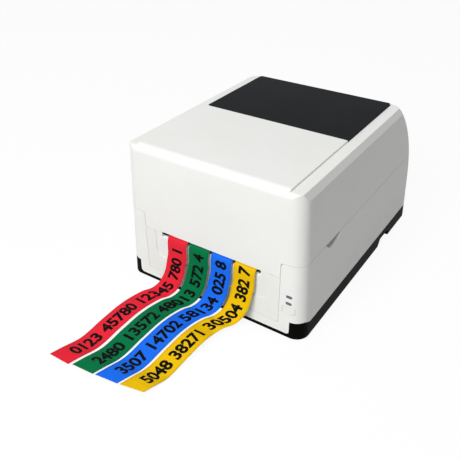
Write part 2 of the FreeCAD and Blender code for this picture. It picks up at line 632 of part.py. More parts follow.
node(group("hinge_pins", hinge_rods("hinge_pin", "pin_radius", f"-({EAR_TO})", EAR_TO)))

# Front panel: white plate in the housing's front, held behind its edges, with the label slot.
SLOT_LOW = "slot_top - slot_height"
PANEL_SIDE = f"{OPENING} - panel_gap"
panel_plate = prism("panel_plate", "XZ_Plane",
                    rectangle(both(PANEL_SIDE), ("panel_bottom", "slot_top - parting_gap")),
                    FRONT, f"{FRONT} + wall")
pocket(panel_plate, "XZ_Plane", rectangle(both("apron_width / 2"), ("apron_bottom", "slot_top")),
       FRONT, f"{FRONT} + apron_depth")
rounded(panel_plate, "apron_round", lambda e: near(e.BoundBox.YLength, "apron_depth")
        and near(e.CenterOfMass.z, "apron_bottom"))
pocket(panel_plate, "XZ_Plane", rectangle(both("slot_width / 2"), (SLOT_LOW, "slot_top")),
       f"{FRONT} - wall", f"{FRONT} + 2 * wall")
lip_edges = [f"Edge{i}" for i, e in enumerate(panel_plate.Tip.Shape.Edges, start=1)
             if near(e.CenterOfMass.z, SLOT_LOW) and near(e.BoundBox.XLength, "slot_width")
             and near(e.CenterOfMass.y, f"{FRONT} + apron_depth")]
lip_base = panel_plate.Tip
lip = panel_plate.newObject("PartDesign::Chamfer", "slot_lip_chamfer")
lip.Base = (lip_base, lip_edges)
bind(lip, "Size", "slot_lip")
FLANGE = (f"{FRONT} + wall", f"{FRONT} + wall + flange_thick")
FLANGE_LOW = "panel_bottom - panel_flange"
panel_flanges = [
    box("flange_right", (f"{OPENING} - panel_flange", f"{OPENING} + panel_flange"), FLANGE,
        (FLANGE_LOW, SLOT_LOW)),
    box("flange_left", (f"-({OPENING}) - panel_flange", f"-({OPENING}) + panel_flange"), FLANGE,
        (FLANGE_LOW, SLOT_LOW)),
    box("flange_low", both(OPENING), FLANGE, (FLANGE_LOW, "panel_bottom + panel_flange")),
]
board_post_room = [rod(f"flange_room_{i}", "y", "board_post_radius + panel_gap", *FLANGE,
                       ("button_place - board_post_side", z)) for i, z in enumerate(BOARD_POSTS)]
node(cut("front_panel", fuse("panel_fitted", panel_plate, *panel_flanges), *board_post_room))

# Light windows, feed button, and the small board behind them.
node(group("light_windows", [common(f"light_window_{n}", case_block,
                                    lamp_bar(f"lamp_bar_{n}", z, f"{FRONT} + 2 * wall"))
                             for n, z in LAMPS]))
KEY_FACE = f"{BOARD_FACE} - key_size / 2"
button_bar = oblong("button_bar", "button_place", "button_height", "button_width", "button_tall",
                    "button_round", "0", f"{FRONT} - wall", f"{FRONT} + button_thick")
button_stem = box("button_stem", ("button_place - stem_size / 2", "button_place + stem_size / 2"),
                  (f"{FRONT} + button_thick / 2", f"{KEY_FACE} - button_travel - button_gap"),
                  ("button_height - stem_size / 2", "button_height + stem_size / 2"))
node(fuse("feed_button", common("button_cap", case_block, button_bar), button_stem))
node(box("panel_board", ("button_place - board_left", "button_place + board_right"),
         (BOARD_FACE, f"{BOARD_FACE} + board_thick"),
         (f"{BOARD_POSTS[0]} - board_below", "lamp_upper + board_above")))
node(box("key_switch", ("button_place - key_size / 2", "button_place + key_size / 2"),
         (KEY_FACE, BOARD_FACE), ("button_height - key_size / 2", "button_height + key_size / 2")))

# Drive plates: two bent steel plates on the tray's floor that carry the platen and its gears.
PLATEN_Y = f"{FRONT} + platen_setback"
PLATEN_Z = "web_height - web_gap - platen_radius"
PLATEN = (PLATEN_Y, PLATEN_Z)
GUIDE = (f"{FRONT} + guide_setback", "web_height - web_gap - guide_radius")
MESH = "gear_module * (platen_teeth + idler_teeth) / 2 + mesh_gap"
MESH_LOW = "gear_module * (idler_teeth + pinion_teeth) / 2 + mesh_gap"
IDLER = (f"{PLATEN_Y} + ({MESH}) * cos(idler_angle * 1 deg)",
         f"{PLATEN_Z} + ({MESH}) * sin(idler_angle * 1 deg)")
MOTOR = (f"{IDLER[0]} + ({MESH_LOW}) * cos(pinion_angle * 1 deg)",
         f"{IDLER[1]} + ({MESH_LOW}) * sin(pinion_angle * 1 deg)")
PLATE_OUT = "plate_place + plate_thick"
GEAR_IN = f"-({PLATE_OUT} + gear_offset)"
GEAR_OUT = f"-({PLATE_OUT} + gear_offset + gear_width)"
PLATE_FRONT = f"{FRONT} + platen_setback - bush_radius - bush_land"
plate_outline = [
    (PLATE_FRONT, "floor_thick"), (f"{FRONT} + plate_rear", "floor_thick"),
    (f"{FRONT} + plate_rear", "web_height - plate_drop"),
    (f"{GUIDE[0]} + guide_land", "web_height + guide_rise"),
    (f"{GUIDE[0]} - guide_land", "web_height + guide_rise"),
    (f"{GUIDE[0]} - 2 * guide_land", "plate_rise"),
    (PLATE_FRONT, "plate_rise")]


def drive_plate(label, span, lip_span, holes):
    """One drive plate with its foot lip and holes."""
    plate = prism(label + "_web", "YZ_Plane", plate_outline, *span)
    foot = box(label + "_foot", lip_span, (PLATE_FRONT, f"{FRONT} + plate_rear"),
               ("floor_thick", "floor_thick + plate_thick"))
    bores = [rod(f"{label}_bore_{i}", "x", radius, f"{span[0]} - through", f"{span[1]} + through", at)
             for i, (radius, at) in enumerate(holes)]
    return node(cut(label, fuse(label + "_blank", plate, foot), *bores))


SHARED_HOLES = [("bush_radius + press_gap", PLATEN), ("guide_radius + press_gap", GUIDE)]
LEFT_HOLES = SHARED_HOLES + [("axle_radius + press_gap", IDLER), ("motor_boss", MOTOR)]
drive_plate("right_drive_plate", ("plate_place", PLATE_OUT), ("plate_place - plate_lip", PLATE_OUT),
            SHARED_HOLES)
drive_plate("left_drive_plate", (f"-({PLATE_OUT})", "-plate_place"),
            (f"-({PLATE_OUT})", "-plate_place + plate_lip"), LEFT_HOLES)
BUSH_SPARE = "(bush_width - plate_thick) / 2"
node(group("platen_bushes", [
    sleeve("bush_right", f"plate_place - {BUSH_SPARE}", f"{PLATE_OUT} + {BUSH_SPARE}",
           "shaft_radius + run_gap", "bush_radius", PLATEN),
    sleeve("bush_left", f"-({PLATE_OUT}) - {BUSH_SPARE}", f"-plate_place + {BUSH_SPARE}",
           "shaft_radius + run_gap", "bush_radius", PLATEN)]))

# Platen: steel shaft with a rubber sleeve and a gear, driven over an idler by the stepper motor.
node(rod("platen_shaft", "x", "shaft_radius", f"{GEAR_OUT} - shaft_spare", f"{PLATE_OUT} + bush_width",
         PLATEN))
node(sleeve("platen_sleeve", "-platen_length / 2", "platen_length / 2", "shaft_radius + press_gap",
            "platen_radius", PLATEN))
IDLER_TURN = num("idler_angle") + 180 + 180 / num("idler_teeth")
IDLER_PITCH = 360 / num("idler_teeth")
idler_phase = (num("pinion_angle") - IDLER_TURN) % IDLER_PITCH
pinion_turn = (num("pinion_angle") + 180 + idler_phase * num("idler_teeth") / num("pinion_teeth")
               + 180 / num("pinion_teeth"))
node(gear("platen_gear", "platen_teeth", GEAR_OUT, GEAR_IN, "shaft_radius + press_gap", PLATEN,
          num("idler_angle")))
node(gear("idler_gear", "idler_teeth", GEAR_OUT, GEAR_IN, "axle_radius + run_gap", IDLER, IDLER_TURN))
pinion_wheel = gear("pinion_wheel", "pinion_teeth", GEAR_OUT, GEAR_IN, "motor_shaft_radius / 2", MOTOR,
                    pinion_turn)
motor_shaft = rod("motor_shaft", "x", "motor_shaft_radius", f"{GEAR_OUT} - shaft_spare",
                  "-plate_place + motor_length / 2", MOTOR)
node(fuse("motor_pinion", pinion_wheel, motor_shaft))
AXLE_END = f"{GEAR_OUT} - panel_gap"
node(turned("idler_axle", [
    (f"{AXLE_END} - rivet_thick", "0"), ("-plate_place", "0"), ("-plate_place", "axle_radius"),
    (AXLE_END, "axle_radius"), (AXLE_END, "axle_radius + rivet_rim"),
    (f"{AXLE_END} - rivet_thick", "axle_radius + rivet_rim")], IDLER))
motor_case = prism("motor_case", "YZ_Plane", rectangle(
    (f"{MOTOR[0]} - motor_size / 2", f"{MOTOR[0]} + motor_size / 2"),
    (f"{MOTOR[1]} - motor_size / 2", f"{MOTOR[1]} + motor_size / 2")),
    "-plate_place", "-plate_place + motor_length")
rounded(motor_case, "motor_size / 8", lambda e: near(e.BoundBox.XLength, "motor_length"))
node(cut("feed_motor", motor_case,
         rod("motor_bore", "x", "motor_shaft_radius + run_gap", "-plate_place - through",
             "-plate_place + motor_length * 0.6", MOTOR)))

# Guide bar, label sensor and tear bar along the tapes' way to the slot.
node(rod("guide_bar", "x", "guide_radius", f"-({PLATE_OUT})", PLATE_OUT, GUIDE))
SENSOR_Y = f"{FRONT} + sensor_setback"
node(box("label_sensor", both("plate_place"),
         (f"{SENSOR_Y} - sensor_depth / 2", f"{SENSOR_Y} + sensor_depth / 2"),
         ("web_height - sensor_drop - sensor_height", "web_height - sensor_drop")))
TEAR_TOP = f"{SLOT_LOW} + tear_over"
node(box("tear_bar", both("slot_width / 2 + tear_spare"), (f"{FRONT} + wall", f"{FRONT} + wall + tear_thick"),
         (f"{TEAR_TOP} - tear_rise", TEAR_TOP)))

# Label supply: four tape rolls on one spindle, in two cradles over a trough.
ROLL = ("roll_place", "roll_height")
CORE_END = "tape_pitch * 1.5 + tape_width / 2 + core_spare"
FLANGE_IN = f"{CORE_END} + panel_gap"
FLANGE_OUT = f"{CORE_END} + panel_gap + flange_width"
CRADLE_IN = f"{FLANGE_OUT} + cradle_gap"
CRADLE_OUT = f"{FLANGE_OUT} + cradle_gap + cradle_thick"
JOURNAL_END = f"{FLANGE_OUT} + journal_length"
COLOURS = ("red", "green", "blue", "yellow")
node(turned("label_spindle", [
    (f"tape_offset - ({JOURNAL_END})", "0"), (f"tape_offset + {JOURNAL_END}", "0"),
    (f"tape_offset + {JOURNAL_END}", "journal_radius"), (f"tape_offset + {FLANGE_OUT}", "journal_radius"),
    (f"tape_offset + {FLANGE_OUT}", "hub_radius"), (f"tape_offset - ({FLANGE_OUT})", "hub_radius"),
    (f"tape_offset - ({FLANGE_OUT})", "journal_radius"),
    (f"tape_offset - ({JOURNAL_END})", "journal_radius")], ROLL))
node(group("spindle_flanges", [
    sleeve("flange_disc_right", f"tape_offset + {FLANGE_IN}", f"tape_offset + {FLANGE_OUT}",
           "hub_radius + press_gap", "flange_radius", ROLL),
    sleeve("flange_disc_left", f"tape_offset - ({FLANGE_OUT})", f"tape_offset - ({FLANGE_IN})",
           "hub_radius + press_gap", "flange_radius", ROLL)]))


def tape_middle(i):
    """The middle of one tape across the printer."""
    return f"(tape_offset + ({i} - 1.5) * tape_pitch)"


node(group("label_cores", [
    sleeve(f"label_core_{name}", f"{tape_middle(i)} - tape_width / 2 - core_spare",
           f"{tape_middle(i)} + tape_width / 2 + core_spare", "hub_radius + core_gap", "core_radius", ROLL)
    for i, name in enumerate(COLOURS)]))
for i, name in enumerate(COLOURS):
    node(sleeve(f"label_roll_{name}", f"{tape_middle(i)} - tape_width / 2",
                f"{tape_middle(i)} + tape_width / 2", "core_radius + press_gap", "roll_radius", ROLL))

CRADLE_TOP = "roll_height + journal_radius"


def cradle(label, span):
    """One upright cradle, open at the top, that a spindle journal lies in."""
    upright = prism(label + "_plate", "YZ_Plane", [
        ("roll_place - cradle_width", "floor_thick"), ("roll_place + cradle_width", "floor_thick"),
        ("roll_place + cradle_width / 2", CRADLE_TOP), ("roll_place - cradle_width / 2", CRADLE_TOP)], *span)
    past = (f"{span[0]} - through", f"{span[1]} + through")
    seat = rod(label + "_seat", "x", "journal_radius + run_gap", *past, ROLL)
    mouth = box(label + "_mouth", past,
                ("roll_place - journal_radius - run_gap", "roll_place + journal_radius + run_gap"),
                ("roll_height", f"{CRADLE_TOP} + through"))
    return cut(label, upright, seat, mouth)


node(group("roll_cradles", [
    cradle("right_cradle", (f"tape_offset + {CRADLE_IN}", f"tape_offset + {CRADLE_OUT}")),
    cradle("left_cradle", (f"tape_offset - ({CRADLE_OUT})", f"tape_offset - ({CRADLE_IN})"))]))
TROUGH = (f"tape_offset - ({CRADLE_IN})", f"tape_offset + {CRADLE_IN}")
TROUGH_IN = "roll_radius + trough_gap"
trough_pipe = sleeve("trough_pipe", *TROUGH, TROUGH_IN, f"{TROUGH_IN} + trough_thick", ROLL)
trough_zone = box("trough_zone", TROUGH, ("roll_place - 2 * roll_radius", "roll_place + 2 * roll_radius"),
                  ("0", "trough_rim"))
node(common("label_trough", trough_pipe, trough_zone))

# Electronics: main board on the tray's standoffs, power inlet, data socket and rocker switch.
node(box("main_board", both("main_width / 2"), (BOARD_START, BOARD_END), ("main_height", BOARD_TOP)))
chips = [box(f"board_{size}", about(place, f"{size} / 2"),
             (f"{BOARD_START} + chip_setback", f"{BOARD_START} + chip_setback + {size}"),
             (BOARD_TOP, f"{BOARD_TOP} + chip_thick"))
         for size, place in (("chip_large", "-chip_place"), ("chip_small", "chip_place"))]
chips += [rod(f"chip_can_{i}", "z", "can_radius", BOARD_TOP, f"{BOARD_TOP} + can_rise",
              (f"-can_place - {i} * can_pitch", f"{BOARD_END} - can_inset")) for i in range(3)]
node(group("board_chips", chips))
jack = box("jack_block", about("jack_place", "jack_width / 2"),
           (f"{REAR} - jack_length", REAR), (BOARD_TOP, f"{BOARD_TOP} + jack_tall"))
JACK = ("jack_place", f"{BOARD_TOP} + jack_tall / 2")
jack_hole = rod("jack_bore", "y", "jack_hole", f"{REAR} - jack_length + jack_back", f"{REAR} + through", JACK)
jack_pin = rod("jack_post", "y", "jack_pin", f"{REAR} - jack_length + jack_back / 2",
               f"{REAR} - jack_pin_short", JACK)
node(fuse("power_inlet", cut("jack_body", jack, jack_hole), jack_pin))
port = box("port_block", about("port_place", "port_width / 2"),
           (f"{REAR} - port_length", REAR), (BOARD_TOP, f"{BOARD_TOP} + port_tall"))
port_hole = box("port_hole", about("port_place", "port_width / 2 - port_wall"),
                (f"{REAR} - port_length + port_back", f"{REAR} + through"),
                (f"{BOARD_TOP} + port_wall", f"{BOARD_TOP} + port_tall - port_wall"))
port_tongue = box("port_tongue", about("port_place", "tongue_half"),
                  (f"{REAR} - port_length + port_back / 2", f"{REAR} - tongue_short"),
                  (f"{BOARD_TOP} + tongue_low", f"{BOARD_TOP} + tongue_high"))
node(fuse("data_socket", cut("port_body", port, port_hole), port_tongue))

ROCKER_IN = "rocker_width / 2"
ROCKER_OUT = "rocker_width / 2 + rocker_rim"
PIVOT = (f"{REAR} - rocker_seat", "rocker_height")
frame_body = box("rocker_body", about("rocker_place", ROCKER_OUT), (f"{REAR} - rocker_depth", REAR),
                 about("rocker_height", "rocker_tall / 2 + rocker_rim"))
frame_rim = box("rocker_rim_plate", about("rocker_place", f"{ROCKER_OUT} + rocker_bezel"),
                (REAR, f"{REAR} + bezel_thick"),
                about("rocker_height", "rocker_tall / 2 + rocker_rim + rocker_bezel"))
frame_hole = box("rocker_hole", about("rocker_place", ROCKER_IN),
                 (f"{REAR} - rocker_depth + rocker_rim", f"{REAR} + bezel_thick + through"),
                 about("rocker_height", "rocker_tall / 2"))
frame_bore = rod("rocker_bore", "x", "rocker_pin + run_gap",
                 *about("rocker_place", f"{ROCKER_OUT} + through"), PIVOT)
node(cut("switch_frame", fuse("switch_blank", frame_body, frame_rim), frame_hole, frame_bore))
rocker_cap = prism("rocker_cap", "YZ_Plane", [
    (f"{PIVOT[0]} - rocker_root", f"{PIVOT[1]} - rocker_neck"),
    (f"{PIVOT[0]} + rocker_sunk", f"{PIVOT[1]} - rocker_tall / 2 + rocker_toe"),
    (f"{PIVOT[0]} + rocker_crown", PIVOT[1]),
    (f"{PIVOT[0]} + rocker_proud", f"{PIVOT[1]} + rocker_tall / 2 - rocker_short"),
    (f"{PIVOT[0]} - rocker_root", f"{PIVOT[1]} + rocker_neck")],
    *about("rocker_place", f"{ROCKER_IN} - rocker_gap"))
rocker_pins = rod("rocker_pins", "x", "rocker_pin", *about("rocker_place", ROCKER_OUT), PIVOT)
node(fuse("power_rocker", rocker_cap, rocker_pins))

# Upper cover: white moulded lid with a raised middle, a front tongue over the slot and rear knuckles.
lid_zone = prism("lid_zone", "XY_Plane", rectangle(ACROSS, (f"{FRONT} - wall", f"{REAR} + wall")),
                 PART_HIGH, "body_height + wall")
pad(lid_zone, "XZ_Plane", rectangle(both("tongue_width / 2"), ("slot_top", "parting_height + wall")),
    f"{FRONT} - wall", f"{FRONT} + wall")
rounded(lid_zone, "tongue_round", lambda e: e.BoundBox.YLength > 1 and e.BoundBox.XLength < 0.01
        and near(abs(e.CenterOfMass.x), "tongue_width / 2") and near(e.CenterOfMass.z, PART_HIGH))
RIM = "body_height - rim_drop"
rim_form = prism("rim_form", "YZ_Plane", rectangle((FRONT, REAR), ("0", RIM)), *ACROSS)
rounded(rim_form, "rim_round", lambda e: near(e.CenterOfMass.y, FRONT) and near(e.CenterOfMass.z, RIM))
rim_tools = [cut(f"rim_tool_{name}", box(f"rim_side_{name}", span,
                                         (f"{FRONT} - wall", REAR),
                                         ("body_height / 2", "body_height + wall")), rim_form)
             for name, span in (("right", ("plateau_width / 2", "body_width / 2 + wall")),
                                ("left", ("-body_width / 2 - wall", "-plateau_width / 2")))]
lid_form = cut("lid_form", common("lid_block", case_block, lid_zone), *rim_tools, case_hollow)
WINDOW_FRONT = f"{FRONT} + window_setback"
WINDOW_REAR = f"{FRONT} + roof_length"
WINDOW_SEAT = "body_height - window_thick"
window_seat = box("window_seat", both("plateau_width / 2 + window_gap"),
                  (WINDOW_FRONT, f"{WINDOW_REAR} + window_gap"), (WINDOW_SEAT, "body_height + wall"))
window_tail = box("window_tail", both("plateau_width / 2 + window_gap"),
                  (WINDOW_REAR, REAR), (RIM, "body_height + wall"))
window_way = box("window_way", both("plateau_width / 2 - window_ledge"),
                 (f"{WINDOW_FRONT} + window_ledge", f"{WINDOW_REAR} - window_ledge"),
                 ("body_height - 2 * roof_wall", "body_height + wall"))
lid_fitted = fuse("lid_fitted",
                  cut("lid_cleared", lid_form, window_seat, window_tail, window_way,
                      *ear_rods("ear_room", "knuckle_radius + swing_gap", "hinge_gap")),
                  *hinge_rods("knuckle", "knuckle_radius", "-knuckle_width / 2", "knuckle_width / 2"))
node(cut("upper_cover", lid_fitted,
         *hinge_rods("knuckle_bore", "pin_radius + pin_gap", "-knuckle_width", "knuckle_width")))

# Window panel: black plate on the raised middle of the lid.
window = prism("top_window", "XY_Plane", rectangle(
    both("plateau_width / 2"), (f"{WINDOW_FRONT} + window_gap", WINDOW_REAR)),
    WINDOW_SEAT, "body_height")
rounded(window, "window_thick", lambda e: near(e.BoundBox.ZLength, "window_thick"))
node(window)

# Ribbon plates: two steel plates under the lid's roof that carry the ribbon spools and the head.
ROOF_IN = "body_height - roof_wall"
SUPPLY = (f"{FRONT} + supply_setback", "ribbon_axis_height")
TAKEUP = (f"{FRONT} + takeup_setback", "ribbon_axis_height")
HEAD_Y = f"{PLATEN_Y} + head_shift"
HEATER_LOW = "web_height + tape_thick + 2 * web_gap + film_thick"
SINK_LOW = f"{HEATER_LOW} + heater_thick"
SINK_TOP = f"{SINK_LOW} + sink_rise"
BRACKET_LOW = f"{SINK_TOP} + spring_length"
BRACKET_TOP = f"{BRACKET_LOW} + bracket_thick"
RIBBON_OUT = "ribbon_plate_place + plate_thick"
RIBBON_FRONT = f"{FRONT} + wall + ribbon_plate_front"
RIBBON_REAR = f"{SUPPLY[0]} + supply_radius + ribbon_plate_rear"
RIBBON_LOW = "ribbon_axis_height - supply_radius - ribbon_plate_drop"
ribbon_outline = [
    (RIBBON_FRONT, f"{SINK_LOW} + ribbon_plate_rise"),
    (f"{HEAD_Y} + head_depth / 2 + ribbon_plate_rear", f"{SINK_LOW} + ribbon_plate_rise"),
    (f"{TAKEUP[0]} + ribbon_plate_step", RIBBON_LOW), (RIBBON_REAR, RIBBON_LOW), (RIBBON_REAR, ROOF_IN),
    (f"{RIBBON_FRONT} + ribbon_plate_corner", ROOF_IN),
    (RIBBON_FRONT, f"{ROOF_IN} - ribbon_plate_corner")]
for name, span in (("right", ("ribbon_plate_place", RIBBON_OUT)),
                   ("left", (f"-({RIBBON_OUT})", "-ribbon_plate_place"))):
    blank = prism(f"ribbon_blank_{name}", "YZ_Plane", ribbon_outline, *span)
    bores = [rod(f"ribbon_bore_{name}_{i}", "x", "spool_journal + run_gap", f"{span[0]} - through",
                 f"{span[1]} + through", at) for i, at in enumerate((SUPPLY, TAKEUP))]
    node(cut(f"{name}_ribbon_plate", blank, *bores))

# Print head: ceramic heater strip under a finned heat sink, pressed down by two springs.
node(box("heater_strip", both("head_length / 2 - heater_inset"),
         about(HEAD_Y, "head_depth / 2 - heater_inset"), (HEATER_LOW, SINK_LOW)))
sink = prism("print_head", "XZ_Plane", rectangle(both("head_length / 2"), (SINK_LOW, SINK_TOP)),
             f"{HEAD_Y} - head_depth / 2", f"{HEAD_Y} + head_depth / 2")
first_fin = "-fin_pitch * (fin_count - 1) / 2"
pocket(sink, "XZ_Plane", rectangle(about(first_fin, "fin_slot / 2"),
                                   (f"{SINK_TOP} - fin_depth", f"{SINK_TOP} + through")),
       f"{HEAD_Y} - head_depth", f"{HEAD_Y} + head_depth")
fins = sink.newObject("PartDesign::LinearPattern", "print_head_fins")
fins.Originals = [sink.Group[-2] if sink.Group[-1] is fins else sink.Group[-1]]
fins.Direction = (next(o for o in sink.Origin.OriginFeatures if o.Role == "X_Axis"), [""])
bind(fins, "Occurrences", "fin_count")
bind(fins, "Length", "fin_pitch * (fin_count - 1)")
sink.Tip = fins
DOC.recompute()
node(sink)
SPRINGS = (("right", "spring_span / 2"), ("left", "-spring_span / 2"))
bracket_bar = box("bracket_bar", both("ribbon_plate_place"), about(HEAD_Y, "bracket_depth / 2"),
                  (BRACKET_LOW, BRACKET_TOP))
node(cut("head_bracket", bracket_bar,
         *[rod(f"bracket_bore_{n}", "z", "guide_pin_radius + run_gap", f"{BRACKET_LOW} - through",
               f"{BRACKET_TOP} + through", (x, HEAD_Y)) for n, x in SPRINGS]))
node(group("head_guide_pins", [
    fuse(f"head_guide_pin_{n}",
         rod(f"guide_stem_{n}", "z", "guide_pin_radius", SINK_TOP, f"{BRACKET_TOP} + pin_cap_thick / 2",
             (x, HEAD_Y)),
         rod(f"guide_cap_{n}", "z", "pin_cap_radius", BRACKET_TOP, f"{BRACKET_TOP} + pin_cap_thick",
             (x, HEAD_Y)))
    for n, x in SPRINGS]))


def coil_route():
    """Points on a spring's middle line, eight to a turn, from its foot."""
    steps = int(num("spring_turns")) * 8
    climb = num("spring_length - 2 * spring_wire - 2 * spring_seat")
    radius = num("spring_radius")
    return [Vector(radius * math.cos(k * math.pi / 4), radius * math.sin(k * math.pi / 4), climb * k / steps)
            for k in range(steps + 1)]


def coil_spring(x):
    """A round-wire compression spring standing on the heat sink, its turns quarter arcs."""
    points = coil_route()
    arcs = [Part.Arc(*points[k:k + 3]).toShape() for k in range(0, len(points) - 1, 2)]
    loop = Part.Wire(Part.makeCircle(num("spring_wire"), points[0], Vector(0, 1, 0)))
    coil = Part.Wire(arcs).makePipeShell([loop], True, False)
    coil.translate(Vector(num(x), num(HEAD_Y), num(f"{SINK_TOP} + spring_wire + spring_seat")))
    return coil


route = coil_route()
spring_room = min((a - b).Length for i, a in enumerate(route) for b in route[i + 5:]) - 2 * num("spring_wire")
print(f"least gap between turns of a head spring: {spring_room:.2f} mm")
head_springs = DOC.addObject("Part::Feature", "head_springs")
head_springs.Shape = Part.makeCompound([coil_spring(x) for _, x in SPRINGS])
node(head_springs)

# Ribbon spools: supply at the rear, take-up at the front, wound by a small motor through a gear.
SPOOL_HALF = "ribbon_width / 2 + spool_spare"
SPOOL_END = f"{RIBBON_OUT} + shaft_spare"
RIBBON_GEAR_IN = f"-({RIBBON_OUT} + gear_offset)"
RIBBON_GEAR_OUT = f"-({RIBBON_OUT} + gear_offset + gear_width)"


def spool(label, left_end, at):
    """A ribbon spool: hub between two journals."""
    return node(turned(label, [
        (left_end, "0"), (SPOOL_END, "0"), (SPOOL_END, "spool_journal"), (SPOOL_HALF, "spool_journal"),
        (SPOOL_HALF, "spool_radius"), (f"-({SPOOL_HALF})", "spool_radius"),
        (f"-({SPOOL_HALF})", "spool_journal"), (left_end, "spool_journal")], at))


spool("supply_spool", f"-({SPOOL_END})", SUPPLY)
spool("takeup_spool", f"{RIBBON_GEAR_OUT} - shaft_spare", TAKEUP)
for label, radius, at in (("supply_ribbon", "supply_radius", SUPPLY),
                          ("takeup_ribbon", "takeup_radius", TAKEUP)):
    node(sleeve(label, "-ribbon_width / 2", "ribbon_width / 2", "spool_radius + press_gap", radius, at))
RIBBON_MESH = "gear_module * (takeup_teeth + ribbon_pinion_teeth) / 2 + mesh_gap"
RIBBON_MOTOR = (f"{TAKEUP[0]} + {RIBBON_MESH}", "ribbon_axis_height")
node(gear("takeup_gear", "takeup_teeth", RIBBON_GEAR_OUT, RIBBON_GEAR_IN, "spool_journal + press_gap",
          TAKEUP, 0))
RIBBON_FACE = f"-({RIBBON_OUT} + ribbon_mount_gap)"
ribbon_wheel = gear("ribbon_wheel", "ribbon_pinion_teeth", RIBBON_GEAR_OUT, RIBBON_GEAR_IN,
                    "ribbon_shaft_radius / 2", RIBBON_MOTOR, 180 + 180 / num("ribbon_pinion_teeth"))
ribbon_shaft = rod("ribbon_shaft", "x", "ribbon_shaft_radius", f"{RIBBON_FACE} - ribbon_shaft_depth",
                   f"{RIBBON_GEAR_IN} + shaft_spare / 2", RIBBON_MOTOR)
node(fuse("ribbon_pinion", ribbon_wheel, ribbon_shaft))
ribbon_can = rod("ribbon_can", "x", "ribbon_motor_radius", f"{RIBBON_FACE} - ribbon_motor_length",
                 RIBBON_FACE, RIBBON_MOTOR)
ribbon_flange = box("ribbon_flange", (f"{RIBBON_FACE} - ribbon_flange_thick", RIBBON_FACE),
                    about(RIBBON_MOTOR[0], "ribbon_post_radius * 2"),
                    about("ribbon_axis_height", "ribbon_post_place + ribbon_post_radius"))
node(cut("ribbon_motor", fuse("ribbon_motor_body", ribbon_can, ribbon_flange),
         rod("ribbon_motor_bore", "x", "ribbon_shaft_radius + run_gap",
             f"{RIBBON_FACE} - ribbon_shaft_depth - through", f"{RIBBON_FACE} + through", RIBBON_MOTOR)))
node(group("motor_posts", [
    rod(f"motor_post_{n}", "x", "ribbon_post_radius", RIBBON_FACE, f"-({RIBBON_OUT})",
        (RIBBON_MOTOR[0], f"ribbon_axis_height {s} ribbon_post_place"))
    for n, s in (("upper", "+"), ("lower", "-"))]))


def tangent(centre, radius, point, low):
    """Where a line from a point touches a circle in the YZ plane: the lower or the front touch."""
    reach = point - centre
    swing = math.acos(radius / reach.Length)
    lie = math.atan2(reach.z, reach.y)
    touches = [centre + Vector(0, radius * math.cos(lie + s * swing), radius * math.sin(lie + s * swing))
               for s in (1, -1)]
    return min(touches, key=lambda p: p.z if low else p.y)


def band(points, radii, thick, left, right):
    """A strip of even thickness along points in the YZ plane, bent at them, between two X places."""
    runs = []
    for i, corner in enumerate(points):
        if i in (0, len(points) - 1):
            runs.append([corner])
            continue
        back = (points[i - 1] - corner).normalize()
        ahead = (points[i + 1] - corner).normalize()
        half = math.acos(back * ahead) / 2
        middle = corner + (back + ahead).normalize() * (radii[i] / math.sin(half))
        bend = corner - middle
        arc = [corner + back * (radii[i] / math.tan(half)), middle + bend.normalize() * radii[i],
               corner + ahead * (radii[i] / math.tan(half))]
        runs.append(arc)

    def edges(shift):
        """The strip's edge on one side of its middle line."""
        moved = []
        for i, run in enumerate(runs):
            if len(run) == 1:
                way = runs[1][0] - run[0] if i == 0 else run[0] - runs[-2][-1]
                moved.append([run[0] + Vector(0, -way.z, way.y).normalize() * shift])
                continue
            start = run[0] - runs[i - 1][-1]
            end = runs[i + 1][0] - run[-1]
            ways = (start, start.normalize() + end.normalize(), end)
            normals = [Vector(0, -w.z, w.y).normalize() for w in ways]
            moved.append([p + n * shift for p, n in zip(run, normals)])
        made = []
        for a, b in zip(moved, moved[1:]):
            made.append(Part.makeLine(a[-1], b[0]))
            if len(b) == 3:
                made.append(Part.Arc(*b).toShape())
        return made, moved[0][0], moved[-1][-1]

    upper, upper_start, upper_end = edges(thick / 2)
    lower, lower_start, lower_end = edges(-thick / 2)
    caps = [Part.makeLine(upper_start, lower_start), Part.makeLine(upper_end, lower_end)]
    face = Part.Face(Part.Wire(Part.__sortEdges__(upper + lower + caps)))
    face.translate(Vector(left, 0, 0))
    return face.extrude(Vector(right - left, 0, 0))


def at_yz(pair):
    """A point in the middle plane from expressions for Y and Z."""
    return Vector(0, num(pair[0]), num(pair[1]))


# Ribbon film: black film from the supply spool under the heater strip and up to the take-up spool.
film_gap = num("web_gap + film_thick / 2")
film_level = "web_height + tape_thick + web_gap + film_thick / 2"
film_rear = at_yz((f"{HEAD_Y} + head_depth / 2 + film_behind", film_level))
film_front = at_yz((f"{FRONT} + wall + film_ahead", film_level))
film_start = tangent(at_yz(SUPPLY), num("supply_radius") + film_gap, film_rear, True)
film_end = tangent(at_yz(TAKEUP), num("takeup_radius") + film_gap, film_front, False)
ribbon_film = DOC.addObject("Part::Feature", "ribbon_film")
film_bends = [0, num("film_bend_rear"), num("film_bend_front"), 0]
ribbon_film.Shape = band([film_start, film_rear, film_front, film_end], film_bends, num("film_thick"),
                         num("-ribbon_width / 2"), num("ribbon_width / 2"))
node(ribbon_film)

